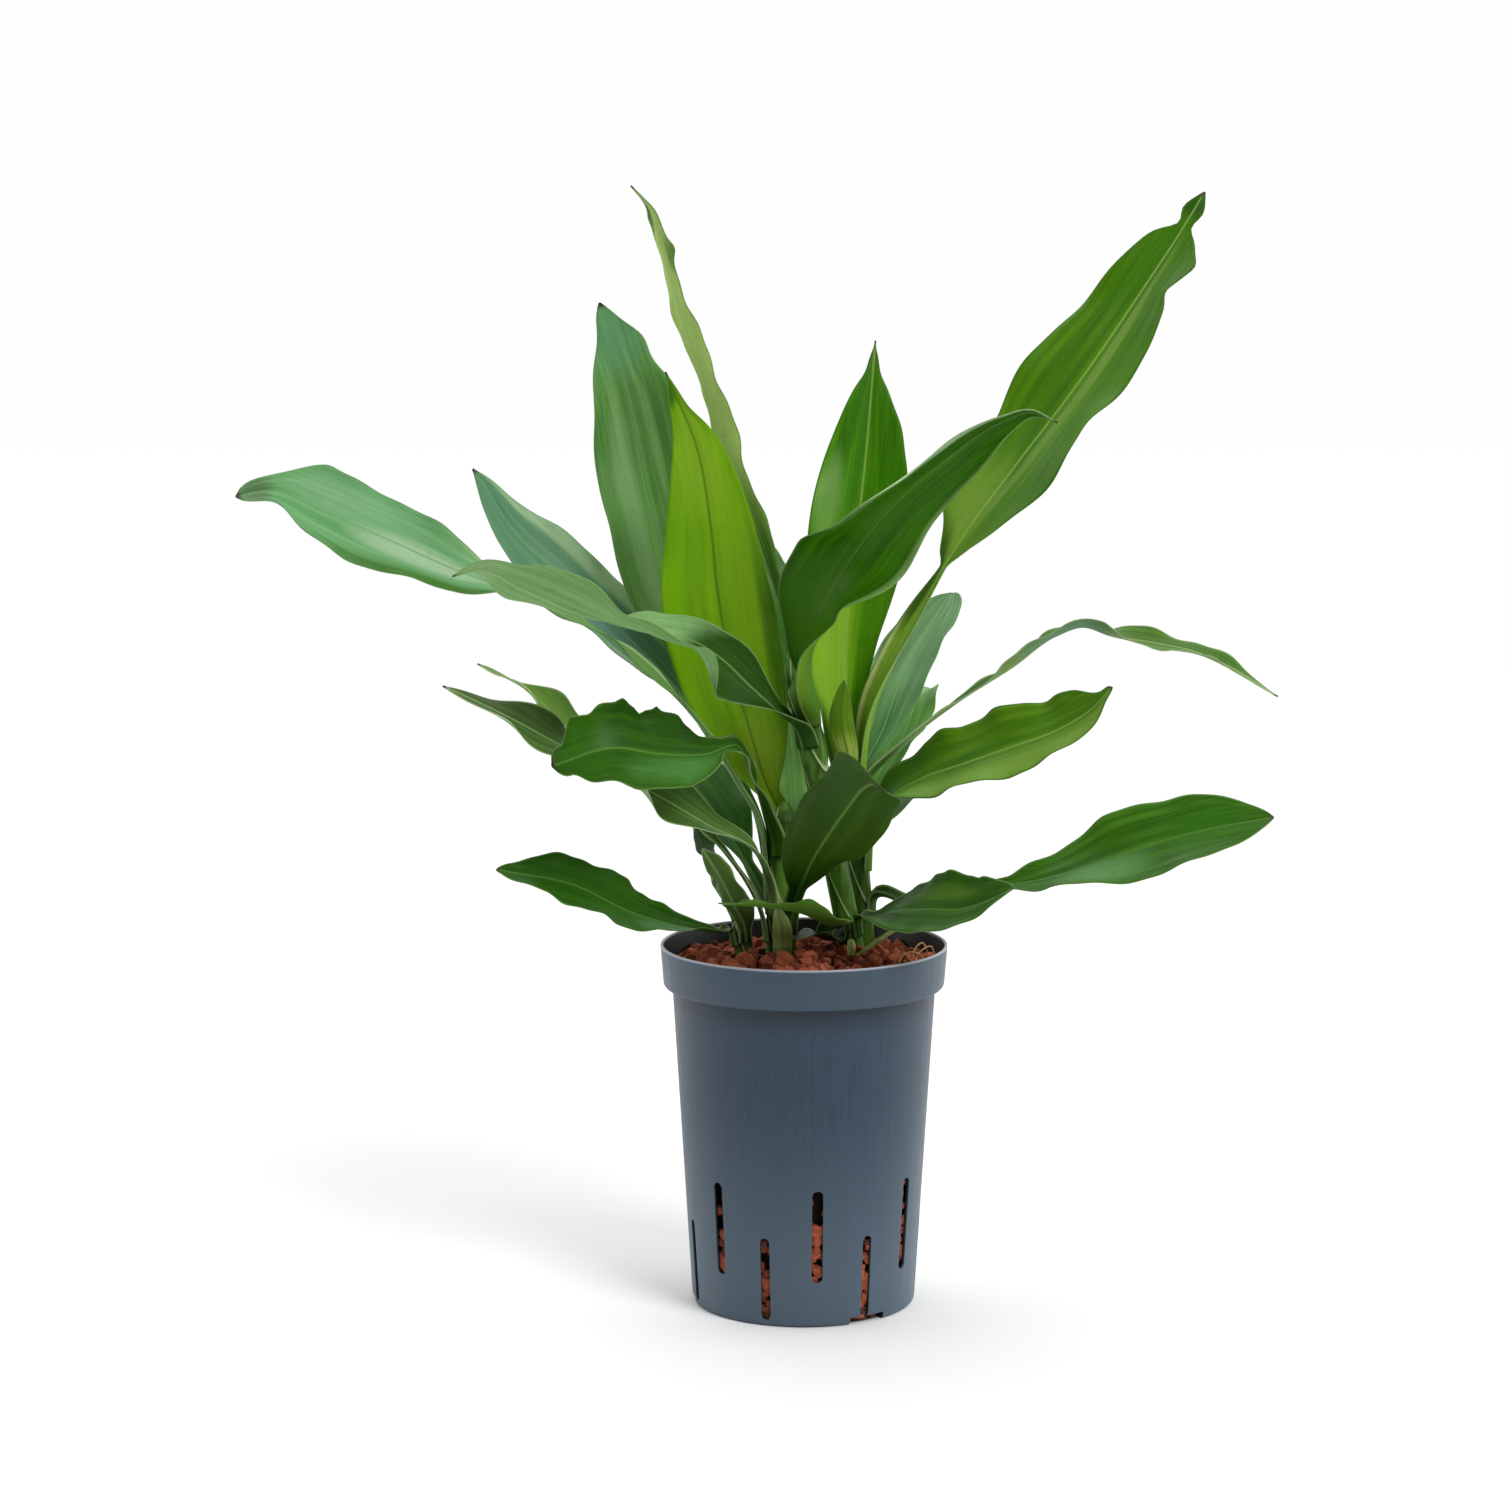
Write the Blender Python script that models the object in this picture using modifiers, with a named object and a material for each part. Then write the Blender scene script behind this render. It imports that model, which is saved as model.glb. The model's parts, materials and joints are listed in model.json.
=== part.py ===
# Potted dracaena: four leafy stems standing in clay granules in a slotted culture pot.
# Metres, +Z up. The origin is on the pot's axis at the ground, and -Y is the front.

import math

import bmesh
import bpy
import numpy as np
from mathutils import Vector

MM = 0.001
GAP = 0.3 * MM  # clearance between neighbouring pieces

# The culture pot, a moulded shell with a stepped collar
POT_HEIGHT = 190 * MM
RIM_RADIUS = 75 * MM
COLLAR_FOOT_RADIUS = 73.2 * MM
COLLAR_HEIGHT = 22 * MM
SHOULDER_RADIUS = 68.7 * MM
FOOT_RADIUS = 58.4 * MM
FOOT_ROUND = 1.6 * MM
WALL = 1.6 * MM
FLOOR = 2 * MM
POT_SIDES = 54

# Water slots in two staggered rows, and drainage notches under the foot
SLOTS_IN_ROW = 7
UPPER_SLOT = {"width": 5.7 * MM, "low": 24 * MM, "high": 73 * MM, "turn": 6}
LOWER_SLOT = {"width": 5 * MM, "low": 3.4 * MM, "high": 47 * MM, "turn": -19.7}
NOTCHES = 3
NOTCH_WIDTH = 21 * MM
NOTCH_HEIGHT = 4 * MM
NOTCH_TURN = 34
CUTTER_DEPTH = 16 * MM
SLOT_ARC_STEPS = 6

# The clay granules
GRANULE_LEVEL = 179.5 * MM
HEAP = 4.5 * MM
LUMP = 2.1 * MM
LUMP_SPACING = 14 * MM
LUMP_BEND = (1.4, 1.7)  # radians by which the rows of lumps wander in X and in Y
LUMP_DRIFT = (0.9, 0.8)  # how often they wander, as a share of the lumps' own frequency
GRANULE_RINGS = 13

# Stems: where each leaves the granules, its tip and its radius
STEM_FOOT = 158 * MM
GROUND = 182 * MM
STEM_SIDES = 12
STEM_RINGS = 4
RING_GROOVE = 0.93  # share of the radius that is left between the rings
RING_HALF_WIDTH = 1.2 * MM
BUD = 9 * MM
BUD_PROFILE = ((0.45, 0.2), (0.9, 1))  # shares of the radius, and of the bud's length below its tip
STEMS = {
    "tall": {"ground": (26, 26), "tip": (-4, -4, 331), "radius": 6.5 * MM},
    "right": {"ground": (32, 42), "tip": (24, 34, 288), "radius": 6.5 * MM},
    "middle": {"ground": (-12, 14), "tip": (-10, 14, 262), "radius": 8 * MM},
    "left": {"ground": (-31, 6), "tip": (-34, 6, 205), "radius": 5 * MM},
}

# Leaves
BLADE = 0.8 * MM
STALK = 6 * MM  # half the unrolled width of a stalk
STALK_END = 0.75
STALK_FADE = 0.6
FOLD = (0.5, 0.3)  # radians from the midrib to a margin at half the length and at the tip
WAVES_BEGIN, WAVES_FULL, WAVES_FADE = 0.15, 0.45, 0.85  # shares of the length
RIGHT_WAVES = 1.13  # waves at the right margin for each wave at the left one
COLUMNS = 4
ROWS = 15
SHORT_ROWS = 9
SHORT_LEAF = 110 * MM
TIP_HALF_WIDTH = 0.7 * MM
SHEATH_RISE = 9 * MM
TURN_SHARE = 0.3  # share of the length over which a leaf turns to its own heading
CURVE_SAMPLES = 40  # between two points of a course, before its rows are spaced evenly

# Each leaf grows from a stem at a height, on a bearing (degrees from +X). Its midrib follows the
# course, in mm, and faces a heading. Width is in mm; the neck is the share of the length that is
# stalk, the belly where the blade is widest, and full how soon it tapers. Roll is in degrees along
# the leaf, fold is its own in place of FOLD, and wave is the margin's height in mm, its number of
# waves and the phase at each side.
LEAVES = {
    "leaf_arch_right": {
        "stem": "tall", "height": 305, "bearing": -25, "faces": 0, "colour": "dark",
        "course": [(3, -11, 334), (5, -16, 354), (11, -22, 373), (22, -30, 392), (41, -41, 418),
                   (68, -53, 443), (97, -61, 464), (111, -63, 469), (124, -65, 464)],
        "width": 56, "neck": 0, "belly": 0.38, "full": 2, "stalk": 7, "fold": (1, 1.1),
        "roll": (20, 45, 112, 124, 120, 112), "wave": (2.5, 2.5, 0.2, 0.5)},
    "leaf_arch_left": {
        "stem": "tall", "height": 292, "bearing": 235, "faces": 200, "colour": "green",
        "course": [(-13, -24, 314), (-28, -40, 330), (-43, -55, 346), (-57, -66, 356),
                   (-77, -78, 361), (-108, -88, 371), (-140, -96, 386), (-160, -100, 395),
                   (-173, -102, 391)],
        "width": 52, "neck": 0.18, "belly": 0.52, "full": 1.8, "stalk": 9,
        "roll": (-28, -76, -58, -24, 6, 25, 30, 28), "wave": (3, 3, 0.1, 0.6)},
    "leaf_tall_thin": {
        "stem": "tall", "height": 315, "bearing": 115, "faces": 180, "colour": "pale",
        "course": [(-8, 23, 349), (-14, 24, 370), (-21, 24, 392), (-30, 25, 416), (-39, 25, 440),
                   (-46, 26, 466), (-59, 26, 500), (-67, 24, 526), (-74, 21, 550), (-79, 18, 569),
                   (-89, 16, 581)],
        "width": 20, "neck": 0.1, "roll": (35, 35, 32, 35, 35, 50), "wave": (1.5, 5, 0, 0.3)},
    "leaf_bright_front": {
        "stem": "middle", "height": 241, "bearing": 95, "faces": 85, "colour": "young",
        "course": [(-20, 20, 272), (-28, 18, 299), (-35, 16, 323), (-41, 12, 349), (-45, 6, 375),
                   (-48, -1, 406), (-55, -5, 447), (-71, -9, 487)],
        "width": 61, "neck": 0.1, "belly": 0.4, "full": 2, "roll": (0, 0, 0, 5),
        "wave": (2.5, 3, 0.3, 0.5)},
    "leaf_blue_upright": {
        "stem": "middle", "height": 228, "bearing": 105, "faces": 100, "colour": "blue",
        "course": [(-20, 33, 272), (-32, 41, 308), (-50, 44, 340), (-66, 46, 368), (-80, 50, 418),
                   (-91, 52, 470), (-107, 52, 521)],
        "width": 58, "neck": 0.25, "full": 1.6, "roll": (0, 5, 5, 0), "wave": (4, 4, 0.1, 0.4)},
    "leaf_far_left": {
        "stem": "middle", "height": 220, "bearing": 182, "faces": 180, "colour": "blue",
        "course": [(-24, 8, 253), (-36, 4, 275), (-55, 0, 306), (-84, -5, 337), (-110, -8, 357),
                   (-148, -11, 375), (-179, -16, 387), (-213, -21, 403), (-246, -26, 418),
                   (-271, -28, 428), (-288, -30, 425)],
        "width": 46, "neck": 0.58, "belly": 0.58, "full": 1.5,
        "roll": (-5, -20, -50, -52, -40), "wave": (2.5, 6, 0, 0.3)},
    "leaf_left_second": {
        "stem": "middle", "height": 206, "bearing": 145, "faces": 170, "colour": "blue",
        "course": [(-28, 26, 261), (-48, 32, 294), (-73, 36, 327), (-97, 38, 351), (-128, 40, 379),
                   (-155, 40, 406), (-167, 38, 426), (-173, 36, 435)],
        "width": 44, "neck": 0.35, "roll": (0, -25, -45, -40), "wave": (2.5, 4, 0, 0.3)},
    "leaf_left_bent": {
        "stem": "middle", "height": 234, "bearing": 235, "faces": 200, "colour": "green",
        "course": [(-20, 2, 257), (-27, -12, 280), (-34, -26, 297), (-51, -48, 296),
                   (-73, -68, 299), (-97, -82, 304), (-126, -90, 296)],
        "width": 47, "neck": 0.45, "belly": 0.6, "full": 1.5, "stalk": 8,
        "roll": (-10, -40, -60, -60, -55, -50), "wave": (3, 5, 0, 0.3)},
    "leaf_left_long": {
        "stem": "middle", "height": 203, "bearing": 228, "faces": 190, "colour": "green",
        "course": [(-26, -2, 239), (-51, -12, 255), (-77, -22, 272), (-104, -34, 288),
                   (-129, -44, 303), (-154, -52, 318), (-182, -58, 332)],
        "width": 36, "neck": 0.1, "roll": (-20, -35, 10, -35, -30), "wave": (4, 3, 0, 0.3)},
    "leaf_left_under": {
        "stem": "middle", "height": 188, "bearing": 185, "faces": 180, "colour": "green",
        "course": [(-29, 5, 219), (-43, 4, 239), (-60, 6, 256), (-85, 10, 273), (-116, 13, 295),
                   (-148, 14, 324), (-170, 14, 335)],
        "width": 32, "neck": 0.4, "roll": (-5, -10, -20, -10), "wave": (3, 4, 0, 0.3)},
    "leaf_front_round": {
        "stem": "middle", "height": 192, "bearing": -60, "faces": -65, "colour": "green",
        "course": [(1, -25, 232), (11, -60, 256), (20, -92, 275), (28, -120, 290), (32, -135, 294),
                   (35, -147, 293)],
        "width": 46, "neck": 0.16, "belly": 0.55, "full": 1.1, "roll": (-20, -45, -48, -42),
        "wave": (1.5, 3, 0, 0.3)},
    "leaf_back_grey": {
        "stem": "middle", "height": 208, "bearing": 50, "faces": 70, "colour": "blue",
        "course": [(-4, 36, 260), (-6, 52, 279), (-9, 72, 298), (-15, 100, 311)],
        "width": 42, "neck": 0.1, "wave": (3, 3, 0, 0.4)},
    "leaf_top_right": {
        "stem": "right", "height": 272, "bearing": 10, "faces": 30, "colour": "green",
        "course": [(36, 34, 307), (47, 34, 335), (64, 38, 366), (80, 44, 393), (110, 56, 433),
                   (145, 72, 477), (180, 92, 525), (206, 106, 563), (216, 110, 579)],
        "width": 64, "neck": 0.33, "belly": 0.4, "full": 1.3, "stalk": 6,
        "roll": (10, 20, 25, 25), "wave": (3, 4, 0, 0.3)},
    "leaf_centre_back": {
        "stem": "right", "height": 278, "bearing": 122, "faces": 90, "colour": "young",
        "course": [(22, 48, 312), (23, 58, 348), (28, 70, 390), (34, 82, 442), (39, 95, 500)],
        "width": 54, "neck": 0, "belly": 0.55, "full": 3, "stalk": 7.5, "wave": (2, 3, 0, 0.3)},
    "leaf_right_back": {
        "stem": "right", "height": 258, "bearing": 60, "faces": 60, "colour": "blue",
        "course": [(43, 56, 296), (50, 71, 313), (59, 91, 330), (71, 112, 347), (82, 130, 361)],
        "width": 44, "neck": 0.1, "belly": 0.6, "full": 1.2, "roll": (0, -6, -10, -10),
        "wave": (1, 2, 0, 0.3)},
    "leaf_right_back_low": {
        "stem": "right", "height": 240, "bearing": 48, "faces": 45, "colour": "blue",
        "course": [(49, 56, 284), (56, 68, 298), (61, 84, 309), (63, 110, 312)],
        "width": 36, "neck": 0.2, "wave": (2, 3, 0, 0.3)},
    "leaf_right_thin": {
        "stem": "right", "height": 256, "bearing": -38, "faces": 0, "colour": "pale",
        "course": [(53, 28, 291), (80, 26, 313), (109, 20, 333), (131, 14, 350), (145, 11, 355),
                   (158, 8, 351), (184, 1, 347), (200, -4, 344), (217, -9, 337), (242, -20, 322)],
        "width": 26, "neck": 0.3, "roll": (0, 0, -10, -14, 12, 16, 10),
        "wave": (2, 5, 0, 0.3)},
    "leaf_right_mid": {
        "stem": "right", "height": 222, "bearing": -20, "faces": -20, "colour": "young",
        "course": [(37, 25, 248), (45, 13, 265), (61, 0, 277), (80, -14, 286), (105, -28, 297),
                   (129, -40, 308), (144, -48, 319), (154, -54, 331)],
        "width": 48, "neck": 0.15, "belly": 0.5, "full": 1.05, "roll": (14, 40, 46, 45),
        "wave": (2.5, 4, 0, 0.3)},
    "leaf_right_low": {
        "stem": "right", "height": 196, "bearing": -5, "faces": -5, "colour": "dark",
        "course": [(61, 14, 207), (94, 0, 219), (125, -10, 226), (152, -18, 236), (178, -24, 246),
                   (207, -30, 255), (239, -36, 262)],
        "width": 50, "neck": 0.4, "belly": 0.52, "full": 1.5, "stalk": 8,
        "roll": (10, 25, 42, 40), "wave": (2, 4, 0, 0.3)},
    "leaf_spear": {
        "stem": "right", "height": 275, "bearing": -95, "faces": -90, "colour": "dark",
        "course": [(20, 26, 301), (21, 24, 325)],
        "width": 13, "neck": 0, "full": 1.5, "stalk": 4, "wave": (0, 1, 0, 0)},
    "leaf_back_right": {
        "stem": "right", "height": 218, "bearing": 78, "faces": 70, "colour": "green",
        "course": [(40, 66, 246), (50, 92, 256), (60, 128, 258), (68, 168, 246)],
        "width": 50, "neck": 0.15, "wave": (3, 3, 0, 0.4)},
    "leaf_right_front_low": {
        "stem": "tall", "height": 190, "bearing": -25, "faces": -35, "colour": "dark",
        "course": [(36, 5, 203), (49, -25, 212), (63, -50, 217), (80, -75, 222), (102, -98, 236)],
        "width": 46, "neck": 0.12, "belly": 0.5, "full": 1.4, "roll": (5, 30, 38, 30),
        "wave": (1.5, 3, 0, 0.3)},
    "leaf_front_low": {
        "stem": "tall", "height": 188, "bearing": -130, "faces": -140, "colour": "green",
        "course": [(14, -3, 200), (-2, -20, 210), (-23, -35, 216), (-44, -45, 219)],
        "width": 30, "neck": 0.05, "roll": (0, 10, 0), "wave": (1.5, 3, 0, 0.3)},
    "leaf_back_tall": {
        "stem": "tall", "height": 270, "bearing": 75, "faces": 95, "colour": "green",
        "course": [(-5, 34, 314), (-15, 62, 342), (-28, 95, 366), (-38, 135, 378),
                   (-46, 175, 376), (-52, 205, 362)],
        "width": 52, "neck": 0.18, "wave": (3, 3, 0, 0.4)},
    "leaf_low_left": {
        "stem": "left", "height": 187, "bearing": 200, "faces": 190, "colour": "dark",
        "course": [(-43, -6, 197), (-59, -16, 201), (-89, -36, 213), (-119, -50, 230),
                   (-156, -60, 239)],
        "width": 36, "neck": 0.1, "belly": 0.55, "full": 1.5, "stalk": 4.5,
        "roll": (-5, -30, -40, -30), "wave": (2, 4, 0, 0.3)},
    "leaf_left_short": {
        "stem": "left", "height": 192, "bearing": 115, "faces": 170, "colour": "dark",
        "course": [(-44, 14, 214), (-53, 16, 238), (-60, 18, 261)],
        "width": 30, "neck": 0.1, "stalk": 4.5, "roll": (0, -20), "wave": (2, 3, 0, 0.4)},
    "leaf_left_shorter": {
        "stem": "left", "height": 190, "bearing": 290, "faces": 240, "colour": "dark",
        "course": [(-36, -8, 212), (-44, -10, 228), (-53, -9, 242)],
        "width": 24, "neck": 0.1, "stalk": 4, "roll": (0, -10), "wave": (1.5, 2, 0, 0.4)},
    "leaf_back_left": {
        "stem": "middle", "height": 187, "bearing": 100, "faces": 125, "colour": "green",
        "course": [(-20, 34, 208), (-38, 58, 236), (-62, 92, 262), (-90, 125, 273),
                   (-112, 150, 268)],
        "width": 50, "neck": 0.25, "roll": (0, -10, 0), "wave": (3, 3, 0, 0.4)},
}

# Principled BSDF colours, linear RGB
LEAF_COLOURS = {
    "young": (0.17, 0.32, 0.02),
    "green": (0.05, 0.18, 0.03),
    "dark": (0.03, 0.12, 0.02),
    "blue": (0.07, 0.2, 0.12),
    "pale": (0.2, 0.3, 0.1),
}
STEM_COLOUR = (0.06, 0.13, 0.03)
POT_COLOUR = (0.1, 0.13, 0.17)
CLAY_COLOUR = (0.36, 0.11, 0.05)
LEAF_ROUGHNESS, STEM_ROUGHNESS, POT_ROUGHNESS, CLAY_ROUGHNESS = 0.35, 0.5, 0.45, 0.95


def clear_scene():
    for old in list(bpy.data.objects):
        bpy.data.objects.remove(old, do_unlink=True)


def new_collection(name):
    made = bpy.data.collections.new(name)
    bpy.context.scene.collection.children.link(made)
    return made


def principled(name, colour, roughness):
    material = bpy.data.materials.new(name)
    material.use_nodes = True
    shader = material.node_tree.nodes["Principled BSDF"]
    shader.inputs["Base Color"].default_value = (*colour, 1)
    shader.inputs["Roughness"].default_value = roughness
    shader.inputs["Metallic"].default_value = 0
    return material


def add_object(name, mesh, collection, material=None):
    made = bpy.data.objects.new(name, mesh)
    collection.objects.link(made)
    if material:
        mesh.materials.append(material)
    return made


def make_cutter(cutter):
    cutter.hide_render = True
    cutter.display_type = "WIRE"
    return cutter


def turned(name, profile, steps, collection, material):
    """A profile in the XZ plane, from the top of the axis round its outer side, turned about Z."""
    mesh = bpy.data.meshes.new(name)
    edges = [(i, i + 1) for i in range(len(profile) - 1)]
    mesh.from_pydata([(radius, 0, z) for radius, z in profile], edges, [])
    made = add_object(name, mesh, collection, material)
    screw = made.modifiers.new("Turn", "SCREW")
    screw.steps = steps
    screw.render_steps = steps
    screw.use_merge_vertices = True
    screw.merge_threshold = 0.01 * MM
    screw.use_smooth_shade = True
    return made


def apply_modifiers(made):
    """Replaces the object's mesh by what its modifiers make of it."""
    graph = bpy.context.evaluated_depsgraph_get()
    mesh = bpy.data.meshes.new_from_object(made.evaluated_get(graph))
    made.modifiers.clear()
    made.data = mesh


def cut(made, cutters):
    """One Boolean for the whole collection of cutters."""
    boolean = made.modifiers.new("Cut", "BOOLEAN")
    boolean.operation = "DIFFERENCE"
    boolean.operand_type = "COLLECTION"
    boolean.collection = cutters
    boolean.solver = "EXACT"


def wall_radius(z):
    """The outer radius of the pot's tapered body below the collar."""
    share = z / (POT_HEIGHT - COLLAR_HEIGHT)
    return FOOT_RADIUS + (SHOULDER_RADIUS - FOOT_RADIUS) * share


def collar_radius(z):
    share = (POT_HEIGHT - z) / COLLAR_HEIGHT
    return RIM_RADIUS + (COLLAR_FOOT_RADIUS - RIM_RADIUS) * share


def inner_wall(inset, top):
    """Points up the inside of the pot, held off its wall by the inset, from the floor to the top."""
    step = POT_HEIGHT - COLLAR_HEIGHT + WALL + inset
    away = WALL + inset
    return [
        (wall_radius(FLOOR) - away, FLOOR + inset),
        (wall_radius(step) - away, step),
        (collar_radius(step) - away, step),
        (collar_radius(top) - away, top),
    ]


def slot_cutter(name, slot, turn, cutters):
    """A prism with round ends that points outwards from the axis at the given turn from the front."""
    half = slot["width"] / 2
    outline = []
    for centre, start in ((slot["high"] - half, 0), (slot["low"] + half, math.pi)):
        for step in range(SLOT_ARC_STEPS + 1):
            angle = start + math.pi * step / SLOT_ARC_STEPS
            outline.append(Vector((half * math.cos(angle), 0, centre + half * math.sin(angle))))
    bm = bmesh.new()
    face = bm.faces.new([bm.verts.new(point) for point in outline])
    extruded = bmesh.ops.extrude_face_region(bm, geom=[face])["geom"]
    moved = [item for item in extruded if isinstance(item, bmesh.types.BMVert)]
    bmesh.ops.translate(bm, verts=moved, vec=(0, CUTTER_DEPTH, 0))
    bmesh.ops.recalc_face_normals(bm, faces=bm.faces)
    mesh = bpy.data.meshes.new(name)
    bm.to_mesh(mesh)
    bm.free()
    cutter = make_cutter(add_object(name, mesh, cutters))
    place_at_wall(cutter, turn, (slot["low"] + slot["high"]) / 2)


def notch_cutter(name, turn, cutters):
    bm = bmesh.new()
    bmesh.ops.create_cube(bm, size=1)
    bmesh.ops.scale(bm, verts=bm.verts, vec=(NOTCH_WIDTH, CUTTER_DEPTH, 2 * NOTCH_HEIGHT))
    bmesh.ops.translate(bm, verts=bm.verts, vec=(0, CUTTER_DEPTH / 2, 0))
    mesh = bpy.data.meshes.new(name)
    bm.to_mesh(mesh)
    bm.free()
    cutter = make_cutter(add_object(name, mesh, cutters))
    place_at_wall(cutter, turn, 0)


def place_at_wall(cutter, turn, z):
    """Centres a cutter's depth on the wall. Turns run from the front towards +X."""
    angle = math.radians(turn)
    reach = wall_radius(z) + CUTTER_DEPTH / 2
    cutter.location = (reach * math.sin(angle), -reach * math.cos(angle), 0)
    cutter.rotation_euler = (0, 0, angle)


def build_pot(parts, cutters):
    step = POT_HEIGHT - COLLAR_HEIGHT
    inner = inner_wall(0, POT_HEIGHT - WALL / 2)
    profile = [(0, FLOOR), *inner]
    profile.append((RIM_RADIUS - WALL / 2, POT_HEIGHT))
    profile.append((RIM_RADIUS, POT_HEIGHT - WALL / 2))
    profile.append((COLLAR_FOOT_RADIUS, step))
    profile.append((SHOULDER_RADIUS, step))
    profile.append((wall_radius(FOOT_ROUND), FOOT_ROUND))
    profile.append((FOOT_RADIUS - FOOT_ROUND, 0))
    profile.append((0, 0))
    pot = turned("pot", profile, POT_SIDES, parts, principled("pot_plastic", POT_COLOUR, POT_ROUGHNESS))
    for number in range(SLOTS_IN_ROW):
        turn = 360 * number / SLOTS_IN_ROW
        slot_cutter(f"upper_slot_{number}", UPPER_SLOT, UPPER_SLOT["turn"] + turn, cutters)
        slot_cutter(f"lower_slot_{number}", LOWER_SLOT, LOWER_SLOT["turn"] + turn, cutters)
    for number in range(NOTCHES):
        notch_cutter(f"notch_{number}", NOTCH_TURN + 360 * number / NOTCHES, cutters)
    cut(pot, cutters)
    return pot


def relief(x, y):
    """The height of the granules over their level: a low heap covered in lumps."""
    wave = 2 * math.pi / LUMP_SPACING
    edge = min(1, math.hypot(x, y) / RIM_RADIUS)
    across = math.sin(wave * x + LUMP_BEND[0] * math.sin(LUMP_DRIFT[0] * wave * y))
    along = math.sin(wave * y + LUMP_BEND[1] * math.sin(LUMP_DRIFT[1] * wave * x))
    return HEAP * (1 - edge * edge) + LUMP * across * along


def build_granules(parts, holes):
    walls = inner_wall(GAP, GRANULE_LEVEL)
    rim = walls[-1][0]
    rings = [(rim * ring / GRANULE_RINGS, GRANULE_LEVEL) for ring in range(GRANULE_RINGS)]
    profile = [*rings, *reversed(walls), (0, FLOOR + GAP)]
    clay = principled("clay_granules", CLAY_COLOUR, CLAY_ROUGHNESS)
    granules = turned("granules", profile, POT_SIDES, parts, clay)
    apply_modifiers(granules)
    for vertex in granules.data.vertices:
        if vertex.co.z > GRANULE_LEVEL - GAP:
            vertex.co.z += relief(vertex.co.x, vertex.co.y)
    cut(granules, holes)
    return granules


def stem_point(stem, z):
    """The stem's axis at a height, along the straight line from the ground to its tip."""
    ground = Vector((*stem["ground"], 0)) * MM
    ground.z = GROUND
    tip = Vector(stem["tip"]) * MM
    return ground + (tip - ground) * (z - GROUND) / (tip.z - GROUND)


def stand_along(made, foot, direction):
    made.location = foot
    made.rotation_mode = "QUATERNION"
    made.rotation_quaternion = Vector((0, 0, 1)).rotation_difference(direction)


def build_stem(name, stem, parts, holes):
    """A ringed stem, narrowing to its bud, and the plain hole that it stands in."""
    foot = stem_point(stem, STEM_FOOT)
    axis = stem_point(stem, stem["tip"][2] * MM) - foot
    length, radius = axis.length, stem["radius"]
    groove = RING_GROOVE * radius
    profile = [(0, length)]
    profile += [(share * radius, length - drop * BUD) for share, drop in BUD_PROFILE]
    for ring in range(STEM_RINGS, 0, -1):
        z = (length - BUD) * ring / (STEM_RINGS + 1)
        profile += [(groove, z + RING_HALF_WIDTH), (radius, z), (groove, z - RING_HALF_WIDTH)]
    profile += [(radius, 0), (0, 0)]
    bark = principled(f"stem_{name}_bark", STEM_COLOUR, STEM_ROUGHNESS)
    made = turned(f"stem_{name}", profile, STEM_SIDES, parts, bark)
    stand_along(made, foot, axis)
    bm = bmesh.new()
    hole_radius = (radius + GAP) / math.cos(math.pi / STEM_SIDES)
    bmesh.ops.create_cone(bm, cap_ends=True, segments=STEM_SIDES, depth=length + GAP,
                          radius1=hole_radius, radius2=hole_radius)
    bmesh.ops.translate(bm, verts=bm.verts, vec=(0, 0, (length - GAP) / 2))
    mesh = bpy.data.meshes.new(f"hole_{name}")
    bm.to_mesh(mesh)
    bm.free()
    stand_along(make_cutter(add_object(f"hole_{name}", mesh, holes)), foot, axis)


def smooth_course(points, count):
    """Evenly spaced points on a smooth curve through the given ones, and its length."""
    knots = np.concatenate([[0], np.cumsum(np.linalg.norm(np.diff(points, axis=0), axis=1))])
    slopes = np.gradient(points, knots, axis=0)
    dense = np.linspace(0, knots[-1], CURVE_SAMPLES * len(points))
    i = np.clip(np.searchsorted(knots, dense, side="right") - 1, 0, len(knots) - 2)
    span = (knots[i + 1] - knots[i])[:, None]
    t = (dense - knots[i])[:, None] / span
    curve = (2 * t**3 - 3 * t**2 + 1) * points[i] + (t**3 - 2 * t**2 + t) * span * slopes[i]
    curve += (3 * t**2 - 2 * t**3) * points[i + 1] + (t**3 - t**2) * span * slopes[i + 1]
    run = np.concatenate([[0], np.cumsum(np.linalg.norm(np.diff(curve, axis=0), axis=1))])
    even = np.linspace(0, run[-1], count + 1)
    return np.stack([np.interp(even, run, curve[:, k]) for k in range(3)], axis=1), run[-1]


def eased(values, u):
    """Values spread evenly along the leaf, eased from each to the next."""
    values = np.asarray(values, float)
    place = u * (len(values) - 1)
    i = np.clip(place.astype(int), 0, max(0, len(values) - 2))
    t = place - i
    t = t * t * (3 - 2 * t)
    after = values[np.minimum(i + 1, len(values) - 1)]
    return values[i] * (1 - t) + after * t


def unit(vectors):
    return vectors / np.linalg.norm(vectors, axis=1)[:, None]


def midrib(leaf, rows):
    stem = STEMS[leaf["stem"]]
    bearing = math.radians(leaf["bearing"])
    out = Vector((math.cos(bearing), math.sin(bearing), 0))
    height = leaf["height"] * MM
    off = stem["radius"] + BLADE
    base = stem_point(stem, height) + out * off
    sheath = stem_point(stem, height + SHEATH_RISE) + out * (off + MM)
    course = np.array([base, sheath, *[Vector(point) * MM for point in leaf["course"]]])
    return smooth_course(course, rows)


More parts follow.
